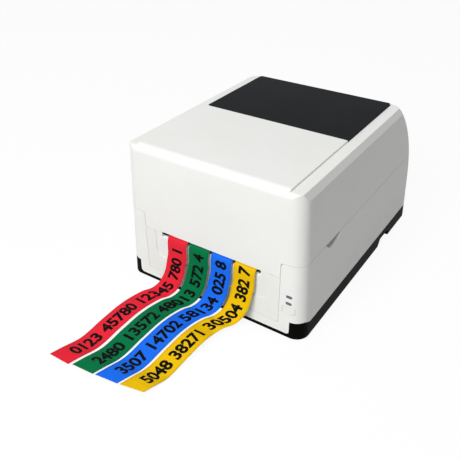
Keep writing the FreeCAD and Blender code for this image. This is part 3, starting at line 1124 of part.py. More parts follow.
# Label tapes: off the rolls, over the guide bar and platen, out of the slot, down and along the table.
# The free stretch is given as (ahead of the front face, height, drift to the left), in millimetres.
FREE_ROUTE = [
    (-6, 67.4, 0), (-5, 67.4, 0), (-4, 67.4, 0), (-2.5, 67.3, 0), (0.6, 66.3, 0), (2.2, 62.5, 0),
    (2.8, 56, 0), (3.3, 46.9, 0), (4.6, 38.2, 1.1), (7, 26.6, 2.4), (10.3, 18.3, 4.4), (14, 10.8, 7.8),
    (20, 6.4, 12.2), (28, 6.3, 16.7), (36, 4.9, 20.5), (54, 5.8, 22.6), (78, 2.7, 25),
    (106, -1.6, 27.5), (126, 2.3, 29.4), (138, 2.8, 32.2)]
# How each tape differs: share of extra reach, share of extra drift, skew of its end.
FREE_LAY = {"red": (0.05, 0.008, 0.2), "green": (0.034, -0.005, 1.9), "blue": (0.016, 0.017, 3.2),
            "yellow": (-0.011, 0.04, 4.9)}
LAY_START = 3
LAY_FULL = 60
TAPE_SECTIONS = 64


def free_tape(middle, reach, sway, skew):
    """The free stretch of one tape, lofted along a curve through its route, and the cut of its end."""
    front = num(FRONT)
    thick = num("tape_thick")
    half = Vector(num("tape_width") / 2, 0, 0)
    level = num("web_height + tape_thick / 2") - FREE_ROUTE[0][1]
    stops = []
    for ahead, height, drift in FREE_ROUTE:
        share = min(max((ahead - LAY_START) / LAY_FULL, 0), 1)
        stops.append(Vector(middle - drift * (1 + sway), front - ahead * (1 + reach * share), height + level))
    curve = Part.BSplineCurve()
    curve.interpolate(stops)
    path = curve.discretize(Number=TAPE_SECTIONS)
    sections = []
    for i, at in enumerate(path):
        way = path[min(i + 1, len(path) - 1)] - path[max(i - 1, 0)]
        rise = Vector(0, way.z, -way.y).normalize() * (thick / 2)
        corners = [at - half + rise, at + half + rise, at + half - rise, at - half - rise]
        sections.append(Part.makePolygon(corners + corners[:1]))
    slope = Vector(2 * half.x, skew, 0)
    past = Vector(0, 4 * skew + thick, 0)
    left = path[-1] - half + Vector(0, thick, -skew - thick)
    corners = [left - slope, left + slope * 2, left + slope * 2 - past, left - slope - past]
    wedge = Part.Face(Part.makePolygon(corners + corners[:1])).extrude(Vector(0, 0, 2 * (skew + thick)))
    return Part.makeLoft(sections, True, False), wedge


def guided_tape(middle):
    """The stretch of one tape inside the printer, from its roll to the slot."""
    gap = num("web_gap + tape_thick / 2")
    roll = at_yz(ROLL)
    guide = at_yz(GUIDE)
    roll_reach = num("roll_radius") + gap
    guide_reach = num("guide_radius") + gap
    between = guide - roll
    lie = math.atan2(between.z, between.y)
    tilt = lie - math.acos((roll_reach - guide_reach) / between.Length)
    normal = Vector(0, math.cos(tilt), math.sin(tilt))
    start = roll + normal * roll_reach
    touch = guide + normal * guide_reach
    level = num("web_height + tape_thick / 2")
    slope = touch - start
    corner = start + slope * ((level - start.z) / slope.z)
    end = Vector(0, num(FRONT) - FREE_ROUTE[0][0], level)
    return band([start, corner, end], [0, guide_reach, 0], num("tape_thick"),
                middle - num("tape_width") / 2, middle + num("tape_width") / 2)


for i, name in enumerate(COLOURS):
    middle = num(tape_middle(i))
    tape = DOC.addObject("Part::Feature", f"label_tape_{name}")
    stretch, end_cut = free_tape(middle, *FREE_LAY[name])
    tape.Shape = guided_tape(middle).fuse(stretch).removeSplitter().cut(end_cut)
    node(tape)

DOC.recompute()
os.makedirs("parts", exist_ok=True)
for piece in DOC.Objects:
    if "Invalid" in piece.State or "Error" in piece.State:
        raise RuntimeError(f"{piece.Label} did not compute: {piece.State}")
for piece in NODES:
    if piece.Shape.isNull() or not piece.Shape.isValid():
        raise RuntimeError(f"{piece.Label} has no valid shape")
    piece.Shape.exportStep(f"parts/{piece.Label}.step")
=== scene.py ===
import math

import bmesh
import bpy
import numpy as np
from mathutils import Matrix, Vector


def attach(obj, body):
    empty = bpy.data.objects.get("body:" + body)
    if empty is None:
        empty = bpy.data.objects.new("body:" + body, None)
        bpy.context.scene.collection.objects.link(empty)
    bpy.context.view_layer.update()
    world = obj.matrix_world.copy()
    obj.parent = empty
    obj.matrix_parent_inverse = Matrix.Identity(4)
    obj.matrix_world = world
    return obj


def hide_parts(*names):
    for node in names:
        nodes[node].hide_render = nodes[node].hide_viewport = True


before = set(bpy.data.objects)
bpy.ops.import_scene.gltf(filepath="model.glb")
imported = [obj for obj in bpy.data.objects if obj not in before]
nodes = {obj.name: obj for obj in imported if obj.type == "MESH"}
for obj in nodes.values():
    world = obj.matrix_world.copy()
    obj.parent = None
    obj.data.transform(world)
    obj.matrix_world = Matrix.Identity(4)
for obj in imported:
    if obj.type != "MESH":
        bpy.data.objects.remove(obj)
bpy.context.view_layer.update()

# Base tray. The printer's floor and skirt, with raised front corners and hand notches. It is moulded
# in black ABS with a fine spark-eroded grain, and screwed to the housing from below.


def paint(red, green, blue):
    """The linear colour of an 8-bit screen colour: the sRGB curve undone, channel by channel."""
    level = np.array([red, green, blue]) / 255.0
    linear = np.where(level <= 0.04045, level / 12.92, ((level + 0.055) / 1.055) ** 2.4)
    return (*linear.tolist(), 1.0)


def new_group(name, *inputs):
    """A shader group with inputs (name, kind, value), and colour, roughness and height to put out."""
    made = bpy.data.node_groups.new(name, "ShaderNodeTree")
    for label, kind, value in inputs:
        socket = made.interface.new_socket(label, in_out="INPUT", socket_type="NodeSocket" + kind)
        socket.default_value = value
    for label, kind in (("Color", "Color"), ("Roughness", "Float"), ("Height", "Float")):
        made.interface.new_socket(label, in_out="OUTPUT", socket_type="NodeSocket" + kind)
    return made, made.nodes.new("NodeGroupInput").outputs


def put_out(group, values):
    """Links sockets to a group's outputs by name."""
    outlet = group.nodes.new("NodeGroupOutput")
    for label, source in values.items():
        group.links.new(source, outlet.inputs[label])


def add(tree, kind, values=(), **settings):
    """One shader node with its settings. An input gets a plain value, or a link where a socket is given."""
    made = tree.nodes.new("ShaderNode" + kind)
    for name, value in settings.items():
        setattr(made, name, value)
    for socket, value in dict(values).items():
        if isinstance(value, bpy.types.NodeSocket):
            tree.links.new(value, made.inputs[socket])
        else:
            made.inputs[socket].default_value = value
    return made


def noise(tree, where, scale, detail):
    """Noise on given coordinates."""
    return add(tree, "TexNoise", {"Vector": where, "Scale": scale, "Detail": detail,
                                  "Roughness": 0.55}).outputs["Fac"]


def spread(tree, value, span, ends):
    """A value mapped from a span to two ends, and held at them."""
    return add(tree, "MapRange", {"Value": value, "From Min": span[0], "From Max": span[1],
                                  "To Min": ends[0], "To Max": ends[1]}).outputs["Result"]


def blend_colour(tree, share, first, second):
    """Two colours mixed by a share that varies over the surface."""
    made = add(tree, "Mix", {"Factor": share, "A": first, "B": second}, data_type="RGBA")
    return next(s for s in made.outputs if s.type == "RGBA")


GREY = (0.5, 0.5, 0.5, 1)
moulded_skin, skin = new_group(
    "moulded_skin", ("Tint", "Color", GREY), ("Flow", "Color", GREY), ("Grain", "Float", 1200.0),
    ("Smooth", "Float", 0.4), ("Rough", "Float", 0.55))
where = add(moulded_skin, "TexCoord").outputs["Object"]
flow = spread(moulded_skin, noise(moulded_skin, where, scale=14.0, detail=3.0), (0.35, 0.65), (0.0, 1.0))
grain = noise(moulded_skin, where, scale=skin["Grain"], detail=2.0)
put_out(moulded_skin, {
    "Color": blend_colour(moulded_skin, flow, skin["Tint"], skin["Flow"]),
    "Roughness": spread(moulded_skin, grain, (0.3, 0.7), (skin["Smooth"], skin["Rough"])),
    "Height": grain})


def surface(name, group, feeds, relief, depth, plain=()):
    """A material fed by a group's colour, roughness and height, with plain values on its shader."""
    made = bpy.data.materials.new(name)
    made.use_nodes = True
    tree = made.node_tree
    shader = tree.nodes["Principled BSDF"].inputs
    source = add(tree, "Group", feeds, node_tree=group).outputs
    bump = add(tree, "Bump", {"Strength": relief, "Distance": depth, "Height": source["Height"]})
    tree.links.new(source["Color"], shader["Base Color"])
    tree.links.new(source["Roughness"], shader["Roughness"])
    tree.links.new(bump.outputs["Normal"], shader["Normal"])
    for socket, value in dict(plain).items():
        shader[socket].default_value = value
    return made


def moulded(name, tint, flow, grain, smooth, rough, relief, depth, plain=()):
    """A plastic or rubber: its colour in two shades of slow flow marks, and a fine grain."""
    feeds = {"Tint": paint(*tint), "Flow": paint(*flow), "Grain": grain, "Smooth": smooth, "Rough": rough}
    return surface(name, moulded_skin, feeds, relief, depth, plain)


def dress(material, *names):
    """Gives the named CAD pieces a finish."""
    for name in names:
        for held in nodes[name].material_slots:
            held.material = material


tray_black = moulded("tray_black", tint=(4, 5, 4), flow=(7, 8, 7), grain=1500.0, smooth=0.42, rough=0.58,
                     relief=0.15, depth=0.0001, plain={"Specular IOR Level": 0.018})
dress(tray_black, "base_tray")

# Rubber feet. Four round pads of black rubber that the printer stands on, die-cut and bonded into
# shallow seats under the tray.
foot_rubber = moulded("foot_rubber", tint=(22, 22, 22), flow=(30, 30, 29), grain=2200.0, smooth=0.72,
                      rough=0.92, relief=0.3, depth=0.0002)
dress(foot_rubber, "rubber_feet")

# Case screws. Four zinc-plated steel screws with flat round heads, which hold the case together. They
# are driven from below, through the tray's bosses into the housing's posts.
drawn_metal, drawing = new_group(
    "drawn_metal", ("Tint", "Color", (0.6, 0.6, 0.6, 1)), ("Streak", "Color", GREY),
    ("Stretch", "Vector", (40.0, 900.0, 900.0)), ("Smooth", "Float", 0.2), ("Rough", "Float", 0.4))
where = add(drawn_metal, "TexCoord").outputs["Object"]
drawn = add(drawn_metal, "VectorMath", {0: where, 1: drawing["Stretch"]}, operation="MULTIPLY")
streaks = noise(drawn_metal, drawn.outputs["Vector"], scale=1.0, detail=3.0)
share = spread(drawn_metal, streaks, (0.3, 0.7), (0.0, 1.0))
put_out(drawn_metal, {
    "Color": blend_colour(drawn_metal, share, drawing["Tint"], drawing["Streak"]),
    "Roughness": spread(drawn_metal, streaks, (0.3, 0.7), (drawing["Smooth"], drawing["Rough"])),
    "Height": streaks})


def metal(name, tint, streak, stretch, smooth, rough, relief=0.06):
    """A bare metal with drawn or rolled streaks along the axis whose stretch is smallest."""
    feeds = {"Tint": paint(*tint), "Streak": paint(*streak), "Stretch": stretch,
             "Smooth": smooth, "Rough": rough}
    return surface(name, drawn_metal, feeds, relief, depth=0.00005, plain={"Metallic": 1.0})


screw_zinc = metal("screw_zinc", tint=(196, 199, 203), streak=(172, 176, 181), stretch=(900, 900, 300),
                   smooth=0.25, rough=0.42)
dress(screw_zinc, "case_screws")

# Lower housing. White ABS shell with leaning sides, moulded with a very fine grain. It has finger grips
# under the lid's edge, and openings for the front panel and the rear sockets.
CASE_SKIN = {"grain": 1900.0, "smooth": 0.42, "rough": 0.54, "relief": 0.08, "depth": 0.00006,
             "plain": {"Specular IOR Level": 0.3}}
case_white = moulded("case_white", tint=(240, 241, 238), flow=(237, 238, 234), **CASE_SKIN)
dress(case_white, "lower_housing")

# Hinge pins. Two pins of ground steel on the rear edge, the lid's axis. Each is pressed into two ears
# of the housing, with a knuckle of the lid between them.
ground_steel = metal("ground_steel", tint=(205, 207, 210), streak=(186, 188, 192), stretch=(30, 1500, 1500),
                     smooth=0.16, rough=0.3)
dress(ground_steel, "hinge_pins")

# Front panel. Separate white plate with the label slot, moulded in the housing's own ABS, and held by
# its flanges behind the edges of the front opening.
panel_white = moulded("panel_white", tint=(238, 239, 235), flow=(234, 235, 230), **CASE_SKIN)
dress(panel_white, "front_panel")

# Light windows. Two oval light guides of smoke-grey clear plastic, pushed into the housing's front
# beside the panel and flush with it.
lamp_smoke = moulded("lamp_smoke", tint=(98, 99, 124), flow=(90, 91, 115), grain=600.0, smooth=0.2,
                     rough=0.28, relief=0.03, depth=0.00004,
                     plain={"Coat Weight": 0.3, "Coat Roughness": 0.1})
dress(lamp_smoke, "light_windows")

# Feed button. White ABS key under the light windows, moulded like the panel. It slides in its opening,
# and its stem presses the switch behind it.
dress(panel_white, "feed_button")

# Button board and key switch. A small circuit board on two posts behind the button, with a black key
# switch soldered to it.
circuit, plan = new_group(
    "circuit", ("Mask", "Color", (0.01, 0.12, 0.05, 1)), ("Track", "Color", (0.02, 0.2, 0.09, 1)),
    ("Tin", "Color", (0.6, 0.6, 0.58, 1)), ("Pitch", "Float", 300.0))
where = add(circuit, "TexCoord").outputs["Object"]
scaled = add(circuit, "VectorMath", {0: where, "Scale": plan["Pitch"]}, operation="SCALE").outputs["Vector"]
lanes = add(circuit, "TexBrick", {
    "Vector": scaled, "Scale": 1.0, "Mortar Size": 0.09, "Brick Width": 2.3, "Row Height": 0.7,
    "Color1": (0, 0, 0, 1), "Color2": (0, 0, 0, 1), "Mortar": (1, 1, 1, 1)}).outputs["Color"]
pads = add(circuit, "TexVoronoi", {"Vector": scaled, "Scale": 0.55, "Randomness": 0.35})
pad_mask = spread(circuit, pads.outputs["Distance"], (0.2, 0.26), (1.0, 0.0))
greens = blend_colour(circuit, lanes, plan["Mask"], plan["Track"])
put_out(circuit, {
    "Color": blend_colour(circuit, pad_mask, greens, plan["Tin"]),
    "Roughness": spread(circuit, pad_mask, (0.0, 1.0), (0.32, 0.24)),
    "Height": lanes})
board_green = surface("board_green", circuit, {
    "Mask": paint(18, 92, 52), "Track": paint(36, 124, 72), "Tin": paint(196, 196, 190), "Pitch": 330.0},
    relief=0.25, depth=0.0001)
dress(board_green, "panel_board")
switch_black = moulded("switch_black", tint=(26, 27, 28), flow=(32, 33, 34), grain=1800.0, smooth=0.36,
                       rough=0.52, relief=0.15, depth=0.0001)
dress(switch_black, "key_switch")

# Drive plates. Two bent plates of galvanised steel that stand on the tray's floor beside the tapes' way.
# They carry the platen and the guide bar, and the left one the gears and the feed motor.
plate_zinc = metal("plate_zinc", tint=(188, 191, 194), streak=(160, 164, 168), stretch=(120, 110, 60),
                   smooth=0.28, rough=0.5, relief=0.04)
dress(plate_zinc, "right_drive_plate", "left_drive_plate")

# Platen bushes. Two turned sleeves of white acetal, pressed into the drive plates. The platen's shaft
# turns in them.
acetal = moulded("acetal", tint=(226, 223, 212), flow=(219, 215, 203), grain=900.0, smooth=0.28, rough=0.4,
                 relief=0.05, depth=0.00006)
dress(acetal, "platen_bushes")

# Platen. A ground steel shaft with a cast rubber sleeve that draws the tapes under the head, and a
# moulded acetal gear at its left end.
platen_rubber = moulded("platen_rubber", tint=(38, 38, 40), flow=(46, 46, 47), grain=2600.0, smooth=0.62,
                        rough=0.8, relief=0.25, depth=0.0001)
dress(ground_steel, "platen_shaft")
dress(platen_rubber, "platen_sleeve")
dress(acetal, "platen_gear")

# Idler and motor pinion. A moulded acetal wheel on a steel axle that is riveted to the left drive plate,
# and the brass pinion on the feed motor's shaft that drives it.
pinion_brass = metal("pinion_brass", tint=(214, 178, 104), streak=(190, 152, 84), stretch=(60, 700, 700),
                     smooth=0.22, rough=0.38)
dress(acetal, "idler_gear")
dress(ground_steel, "idler_axle")
dress(pinion_brass, "motor_pinion")

# Feed motor. A square stepper motor on the inner side of the left drive plate, in black lacquer. Its
# stack of steel sheets shows as fine lines.
motor_lacquer = metal("motor_lacquer", tint=(44, 45, 47), streak=(64, 65, 68), stretch=(1400, 30, 30),
                      smooth=0.34, rough=0.5, relief=0.3)
dress(motor_lacquer, "feed_motor")

# Guide bar, label sensor and tear bar. A ground bar that turns the tapes level, a black sensor strip
# under them, and a steel blade behind the slot.
dress(ground_steel, "guide_bar")
dress(switch_black, "label_sensor")
blade_steel = metal("blade_steel", tint=(198, 201, 204), streak=(176, 179, 183), stretch=(20, 800, 1200),
                    smooth=0.2, rough=0.34)
dress(blade_steel, "tear_bar")

# Label spindle, flanges, cradles and trough. Grey moulded pieces that carry the four rolls: a spindle
# with two flanges pressed on, two open cradles on the tray's floor, and a curved trough between them.
spindle_grey = moulded("spindle_grey", tint=(72, 74, 77), flow=(80, 82, 85), grain=1500.0, smooth=0.38,
                       rough=0.54, relief=0.14, depth=0.0001)
dress(spindle_grey, "label_spindle", "spindle_flanges", "roll_cradles", "label_trough")

# Label cores. Four tubes of wound and glued brown card, one inside each roll. They slip over the
# spindle, between its flanges.
core_card = moulded("core_card", tint=(168, 132, 92), flow=(150, 115, 78), grain=700.0, smooth=0.78,
                    rough=0.95, relief=0.3, depth=0.00015)
dress(core_card, "label_cores")

# Label rolls. Four coloured tapes, each wound turn on turn on its core, so the ends show fine rings of
# coloured face and pale liner.
wound, winding = new_group(
    "wound", ("Face", "Color", GREY), ("Liner", "Color", (0.8, 0.8, 0.75, 1)),
    ("Middle", "Vector", (0.0, 0.048, 0.074)), ("Turns", "Float", 4200.0),
    ("Smooth", "Float", 0.5), ("Rough", "Float", 0.7))
where = add(wound, "TexCoord").outputs["Object"]
offset = add(wound, "VectorMath", {0: where, 1: winding["Middle"]}, operation="SUBTRACT")
flat = add(wound, "VectorMath", {0: offset.outputs["Vector"], 1: (0.0, 1.0, 1.0)}, operation="MULTIPLY")
reach = add(wound, "VectorMath", {0: flat.outputs["Vector"]}, operation="LENGTH").outputs["Value"]
rings = add(wound, "TexNoise", noise_dimensions="1D", values={
    "W": reach, "Scale": winding["Turns"], "Detail": 2.0}).outputs["Fac"]
facing = add(wound, "SeparateXYZ", {0: add(wound, "NewGeometry").outputs["Normal"]})
on_end = add(wound, "Math", {0: facing.outputs["X"]}, operation="ABSOLUTE")
ring_share = add(wound, "Math", operation="MULTIPLY", values={
    0: spread(wound, rings, (0.4, 0.62), (0.0, 0.75)), 1: on_end.outputs["Value"]}).outputs["Value"]
put_out(wound, {
    "Color": blend_colour(wound, ring_share, winding["Face"], winding["Liner"]),
    "Roughness": spread(wound, rings, (0.3, 0.7), (winding["Smooth"], winding["Rough"])),
    "Height": ring_share})
TAPES = (("red", paint(229, 40, 57)), ("green", paint(1, 113, 66)),
         ("blue", paint(25, 109, 236)), ("yellow", paint(234, 189, 6)))
for name, colour in TAPES:
    roll = surface(f"roll_{name}", wound, {"Face": colour, "Liner": paint(228, 224, 208)},
                   relief=0.3, depth=0.0001)
    dress(roll, f"label_roll_{name}")

# Main board and chips. The controller, a green glass-fibre board on the tray's standoffs, with moulded
# black chips and cans soldered to it.
dress(board_green, "main_board")
chip_black = moulded("chip_black", tint=(34, 34, 36), flow=(42, 42, 44), grain=2400.0, smooth=0.45,
                     rough=0.65, relief=0.2, depth=0.0001)
dress(chip_black, "board_chips")

# Power inlet, data socket and rocker switch. Black moulded inlet and switch, and a socket with a plated
# steel shell, all open through the rear wall. Inlet and socket are soldered to the main board.
dress(switch_black, "power_inlet", "switch_frame", "power_rocker")
shell_steel = metal("shell_steel", tint=(206, 208, 210), streak=(190, 192, 195), stretch=(300, 60, 300),
                    smooth=0.2, rough=0.34)
dress(shell_steel, "data_socket")

# Upper cover. White ABS lid with a raised middle and a front tongue over the slot, moulded like the
# housing. Two knuckles hang it on the rear pins.
dress(case_white, "upper_cover")

# Top window. A smoke-black plastic plate with a fine satin grain, let into a seat in the raised middle
# of the lid.
window_black = moulded("window_black", tint=(24, 26, 29), flow=(27, 29, 32), grain=2100.0, smooth=0.34,
                       rough=0.44, relief=0.03, depth=0.00004, plain={"Specular IOR Level": 0.012})
dress(window_black, "top_window")

# Ribbon plates. Two plates of galvanised steel, fixed under the lid's roof. They carry the ribbon
# spools, the bracket of the print head and the ribbon motor.
dress(plate_zinc, "right_ribbon_plate", "left_ribbon_plate")

# Print head. A glazed ceramic heater strip under a finned aluminium sink, on two steel guide pins
# with coil springs below a steel bracket.
ceramic = moulded("ceramic", tint=(216, 212, 200), flow=(206, 201, 188), grain=2500.0, smooth=0.18,
                  rough=0.3, relief=0.05, depth=0.00004)
dress(ceramic, "heater_strip")
sink_aluminium = metal("sink_aluminium", tint=(214, 216, 219), streak=(196, 199, 203),
                       stretch=(30, 700, 900), smooth=0.26, rough=0.42)
dress(sink_aluminium, "print_head")
dress(plate_zinc, "head_bracket")
dress(ground_steel, "head_guide_pins", "head_springs")

# Ribbon spools and ribbon. Grey moulded hubs that turn in the ribbon plates, supply at the rear and
# take-up in front, wound with black wax ribbon whose ends show its turns.
RIBBON_AXES = {"supply": (0.0, -0.045, 0.128), "takeup": (0.0, -0.112, 0.128)}
dress(spindle_grey, "supply_spool", "takeup_spool")
for name, axis in RIBBON_AXES.items():
    wax = surface(f"wax_{name}", wound, {
        "Face": paint(20, 20, 23), "Liner": paint(44, 44, 50), "Middle": axis, "Turns": 5200.0,
        "Smooth": 0.2, "Rough": 0.34}, relief=0.2, depth=0.00008)
    dress(wax, f"{name}_ribbon")

# Ribbon film. Black wax film between the two spools, drawn tight round a bend before and after the
# print head, and flat under the heater strip.
FILM_WIDTH = 0.11
FILM_THICK = 0.0002
FILM_START = np.array([-0.03468, 0.10806])
FILM_END = np.array([-0.12716, 0.13097])
REAR_BEND = np.array([-0.11273, 0.07105])
REAR_RADIUS = 0.003
FRONT_BEND = np.array([-0.13707, 0.07005])
FRONT_RADIUS = 0.002
DOWN = -math.pi / 2
SPOOL_RUN_POINTS = 40
HEAD_RUN_POINTS = 20
REAR_BEND_POINTS = 7
FRONT_BEND_POINTS = 13
FILM_COLUMNS = 5


def touch(centre, radius, point, side):
    """The bearing at which a line from a point touches a circle: the point's own bearing, turned to
    one side by the arc cosine of radius over distance."""
    away = point - centre
    return math.atan2(away[1], away[0]) + side * math.acos(radius / np.hypot(*away))


def bend(centre, radius, first, last, count):
    """Points on an arc in the YZ plane, at even bearings from first to last."""
    turn = np.linspace(first, last, count)
    return centre + radius * np.stack([np.cos(turn), np.sin(turn)], axis=1)


def strip_normals(line):
    """Unit normals of a strip whose width runs along X: the line's direction turned in YZ."""
    way = np.gradient(line, axis=0)
    turned = np.stack([np.zeros(len(line)), way[:, 2], -way[:, 1]], axis=1)
    return turned / np.linalg.norm(turned, axis=1, keepdims=True)


def show(name, mesh):
    """A mesh as an object of the scene, at the origin."""
    made = bpy.data.objects.new(name, mesh)
    bpy.context.scene.collection.objects.link(made)
    return made


def slab(name, line, normal, wide, thick, finishes):
    """A closed sheet along a line: the line's points plus a row of points across, moved half the
    thickness out and in along the normal, and walls along the four edges. The outer face has the
    first finish, and the inner face and the walls have the last."""
    top = line[:, None] + wide + normal[:, None] * thick / 2
    bottom = line[:, None] + wide - normal[:, None] * thick / 2
    rows, columns = top.shape[:2]
    index = np.arange(rows * columns).reshape(rows, columns)
    under = index + rows * columns

    def quads(a, b):
        """Faces between two runs of point numbers."""
        return np.stack([a[:-1], b[:-1], b[1:], a[1:]], axis=-1).reshape(-1, 4)

    upper = np.stack([index[:-1, :-1], index[1:, :-1], index[1:, 1:], index[:-1, 1:]], axis=-1)
    upper = upper.reshape(-1, 4)
    lower = upper[:, ::-1] + rows * columns
    walls = [quads(index[:, 0], under[:, 0]), quads(index[:, -1], under[:, -1])[:, ::-1],
             quads(index[0], under[0])[:, ::-1], quads(index[-1], under[-1])]
    mesh = bpy.data.meshes.new(name)
    points = np.concatenate([top.reshape(-1, 3), bottom.reshape(-1, 3)])
    mesh.from_pydata(points.tolist(), [], np.concatenate([upper, lower, *walls]).tolist())
    for finish in finishes:
        mesh.materials.append(finish)
    chosen = np.full(len(mesh.polygons), len(finishes) - 1, dtype=np.int32)
    chosen[:len(upper)] = 0
    mesh.polygons.foreach_set("material_index", chosen)
    mesh.shade_smooth()
    return show(name, mesh)


rear = bend(REAR_BEND, REAR_RADIUS, touch(REAR_BEND, REAR_RADIUS, FILM_START, -1), DOWN, REAR_BEND_POINTS)
front = bend(FRONT_BEND, FRONT_RADIUS, DOWN,
             touch(FRONT_BEND, FRONT_RADIUS, FILM_END, 1) - 2 * math.pi, FRONT_BEND_POINTS)
path = np.concatenate([np.linspace(FILM_START, rear[0], SPOOL_RUN_POINTS), rear[1:-1],
                       np.linspace(rear[-1], front[0], HEAD_RUN_POINTS), front[1:-1],
                       np.linspace(front[-1], FILM_END, SPOOL_RUN_POINTS)])
line = np.column_stack([np.zeros(len(path)), path])
across = np.linspace(-FILM_WIDTH / 2, FILM_WIDTH / 2, FILM_COLUMNS)[None, :, None] * np.array([1.0, 0, 0])
film_black = moulded("film_black", tint=(18, 18, 21), flow=(26, 26, 30), grain=240.0, smooth=0.16,
                     rough=0.28, relief=0.06, depth=0.0001)
film = slab("film", line, strip_normals(line), across, FILM_THICK, [film_black])
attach(film, "lid")
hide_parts("ribbon_film")

# Ribbon drive. An acetal gear on the take-up hub, and a small steel motor with a brass pinion that
# stands off the left plate on two posts.
dress(acetal, "takeup_gear")
dress(pinion_brass, "ribbon_pinion")
motor_can = metal("motor_can", tint=(190, 193, 196), streak=(170, 173, 177), stretch=(40, 800, 800),
                  smooth=0.24, rough=0.4)
dress(motor_can, "ribbon_motor", "motor_posts")

# Label tapes. Four strips of coloured label stock on a pale liner, drawn off their rolls, over the
# guide bar and platen and out of the slot, to hang down and lie along the table. A row of black digits
# is printed on each.
TAPE_WIDTH = 0.024
TAPE_THICK = 0.0003
TAPE_MIDDLES = (-0.038, -0.011, 0.016, 0.043)
TAPE_ROWS = 420
TAPE_COLUMNS = 9
ROLL_AXIS = np.array([0.048, 0.074])
ROLL_REACH = 0.0445
GUIDE_AXIS = np.array([-0.086, 0.0639])
GUIDE_REACH = 0.0035
LEVEL = 0.0674
LEVEL_START, LEVEL_END = -0.092, -0.134
RUN_STOPS, ARC_STOPS, LEVEL_STOPS = 6, 4, 5
FRONT = -0.145
# The free stretch in millimetres: how far ahead of the front, how high, and how far to the left.
FREE = np.array([
    (-6, 67.4, 0), (-5, 67.4, 0), (-4, 67.4, 0), (-2.5, 67.3, 0), (0.6, 66.3, 0), (2.2, 62.5, 0),
    (2.8, 56, 0), (3.3, 46.9, 0), (4.6, 38.2, 1.1), (7, 26.6, 2.4), (10.3, 18.3, 4.4), (14, 10.8, 7.8),
    (20, 6.4, 12.2), (28, 6.3, 16.7), (36, 4.9, 20.5), (54, 5.8, 22.6), (78, 2.7, 25), (106, -1.6, 27.5),
    (126, 2.3, 29.4), (138, 2.8, 32.2)]) / 1000
# How each tape differs: share of extra reach, share of extra drift, and skew of its end in metres.
LAY = {"red": (0.05, 0.008, 0.0002), "green": (0.034, -0.005, 0.0019),
       "blue": (0.016, 0.017, 0.0032), "yellow": (-0.011, 0.04, 0.0049)}
LAY_START, LAY_FULL = 0.003, 0.06
SLANT_RUN = 0.03
NUMERALS = {"red": "0123 45780 12345 780 1", "green": "2480 13572 48013 572 4",
            "blue": "3507 14702 58134 025 8", "yellow": "5048 38271 30504 382 7"}
NUMERAL_SIZE = 0.0172
NUMERAL_BOLD = 0.00065
NUMERAL_START = 0.014
NUMERAL_SIDE = -0.006
CUT_FIRST, CUT_LAST, CUT_STEP = 0.001, 0.26, 0.0015
INK_LIFT = 0.00004


def guided_route():
    """The way inside, in the YZ plane: the outer tangent of roll and guide bar, an arc over the bar
    of the bar's radius and half the tape, then level to the slot."""
    between = GUIDE_AXIS - ROLL_AXIS
    lie = math.atan2(between[1], between[0])
    tilt = lie - math.acos((ROLL_REACH - GUIDE_REACH) / np.hypot(*between))
    normal = np.array([math.cos(tilt), math.sin(tilt)])
    run = np.linspace(ROLL_AXIS + normal * ROLL_REACH, GUIDE_AXIS + normal * GUIDE_REACH, RUN_STOPS)
    arc = bend(GUIDE_AXIS, GUIDE_REACH, tilt, math.pi / 2, ARC_STOPS)[1:]
    level = np.linspace((LEVEL_START, LEVEL), (LEVEL_END, LEVEL), LEVEL_STOPS)
    return np.concatenate([run, arc, level])


def smooth_run(points, count):
    """Points along a smooth line: cubic Hermite pieces on chord length, each slope the mean rate
    between a point's two neighbours."""
    chord = np.concatenate([[0], np.cumsum(np.linalg.norm(np.diff(points, axis=0), axis=1))])
    slope = np.gradient(points, chord, axis=0)
    at = np.linspace(0, chord[-1], count)
    k = np.clip(np.searchsorted(chord, at, side="right") - 1, 0, len(chord) - 2)
    step = (chord[k + 1] - chord[k])[:, None]
    u = ((at - chord[k])[:, None]) / step
    return ((2 * u**3 - 3 * u**2 + 1) * points[k] + (u**3 - 2 * u**2 + u) * step * slope[k]
            + (3 * u**2 - 2 * u**3) * points[k + 1] + (u**3 - u**2) * step * slope[k + 1])


def print_numerals(name, line, normal, slant, gone):
    """A row of digits bent to a tape: flat letters are cut across at even steps, and each point goes to
    the place on the tape's middle line that is as far from the free end as the point is along the row,
    out along the normal there, and aside by its height in the row."""
    words = bpy.data.curves.new(f"numerals_{name}", "FONT")
    words.body = NUMERALS[name]
    words.size = NUMERAL_SIZE
    words.offset = NUMERAL_BOLD
    drawn_words = bpy.data.objects.new(f"numerals_{name}", words)
    flat_print = bpy.data.meshes.new_from_object(drawn_words)
    bpy.data.objects.remove(drawn_words)
    bpy.data.curves.remove(words)
    sliced = bmesh.new()
    sliced.from_mesh(flat_print)
    for cut_at in np.arange(CUT_FIRST, CUT_LAST, CUT_STEP):
        bmesh.ops.bisect_plane(sliced, geom=sliced.verts[:] + sliced.edges[:] + sliced.faces[:],
                               plane_co=(cut_at, 0, 0), plane_no=(1, 0, 0))
    sliced.to_mesh(flat_print)
    sliced.free()
    spots = np.empty(len(flat_print.vertices) * 3)
    flat_print.vertices.foreach_get("co", spots)
    spots = spots.reshape(-1, 3)
    reach = spots[:, 0] + NUMERAL_START
    aside = -spots[:, 1] - NUMERAL_SIDE
    place = np.column_stack([np.interp(reach, gone, part) for part in line[::-1].T])
    lift = np.column_stack([np.interp(reach, gone, part) for part in normal[::-1].T])
    place += lift * (TAPE_THICK / 2 + INK_LIFT)
    place[:, 0] += aside
    place[:, 1] += np.interp(reach, gone, slant[::-1]) * (aside / TAPE_WIDTH + 0.5)
    flat_print.vertices.foreach_set("co", place.ravel())
    flat_print.update()
    flat_print.materials.clear()
    flat_print.materials.append(ink)
    return show(f"numerals_{name}", flat_print)


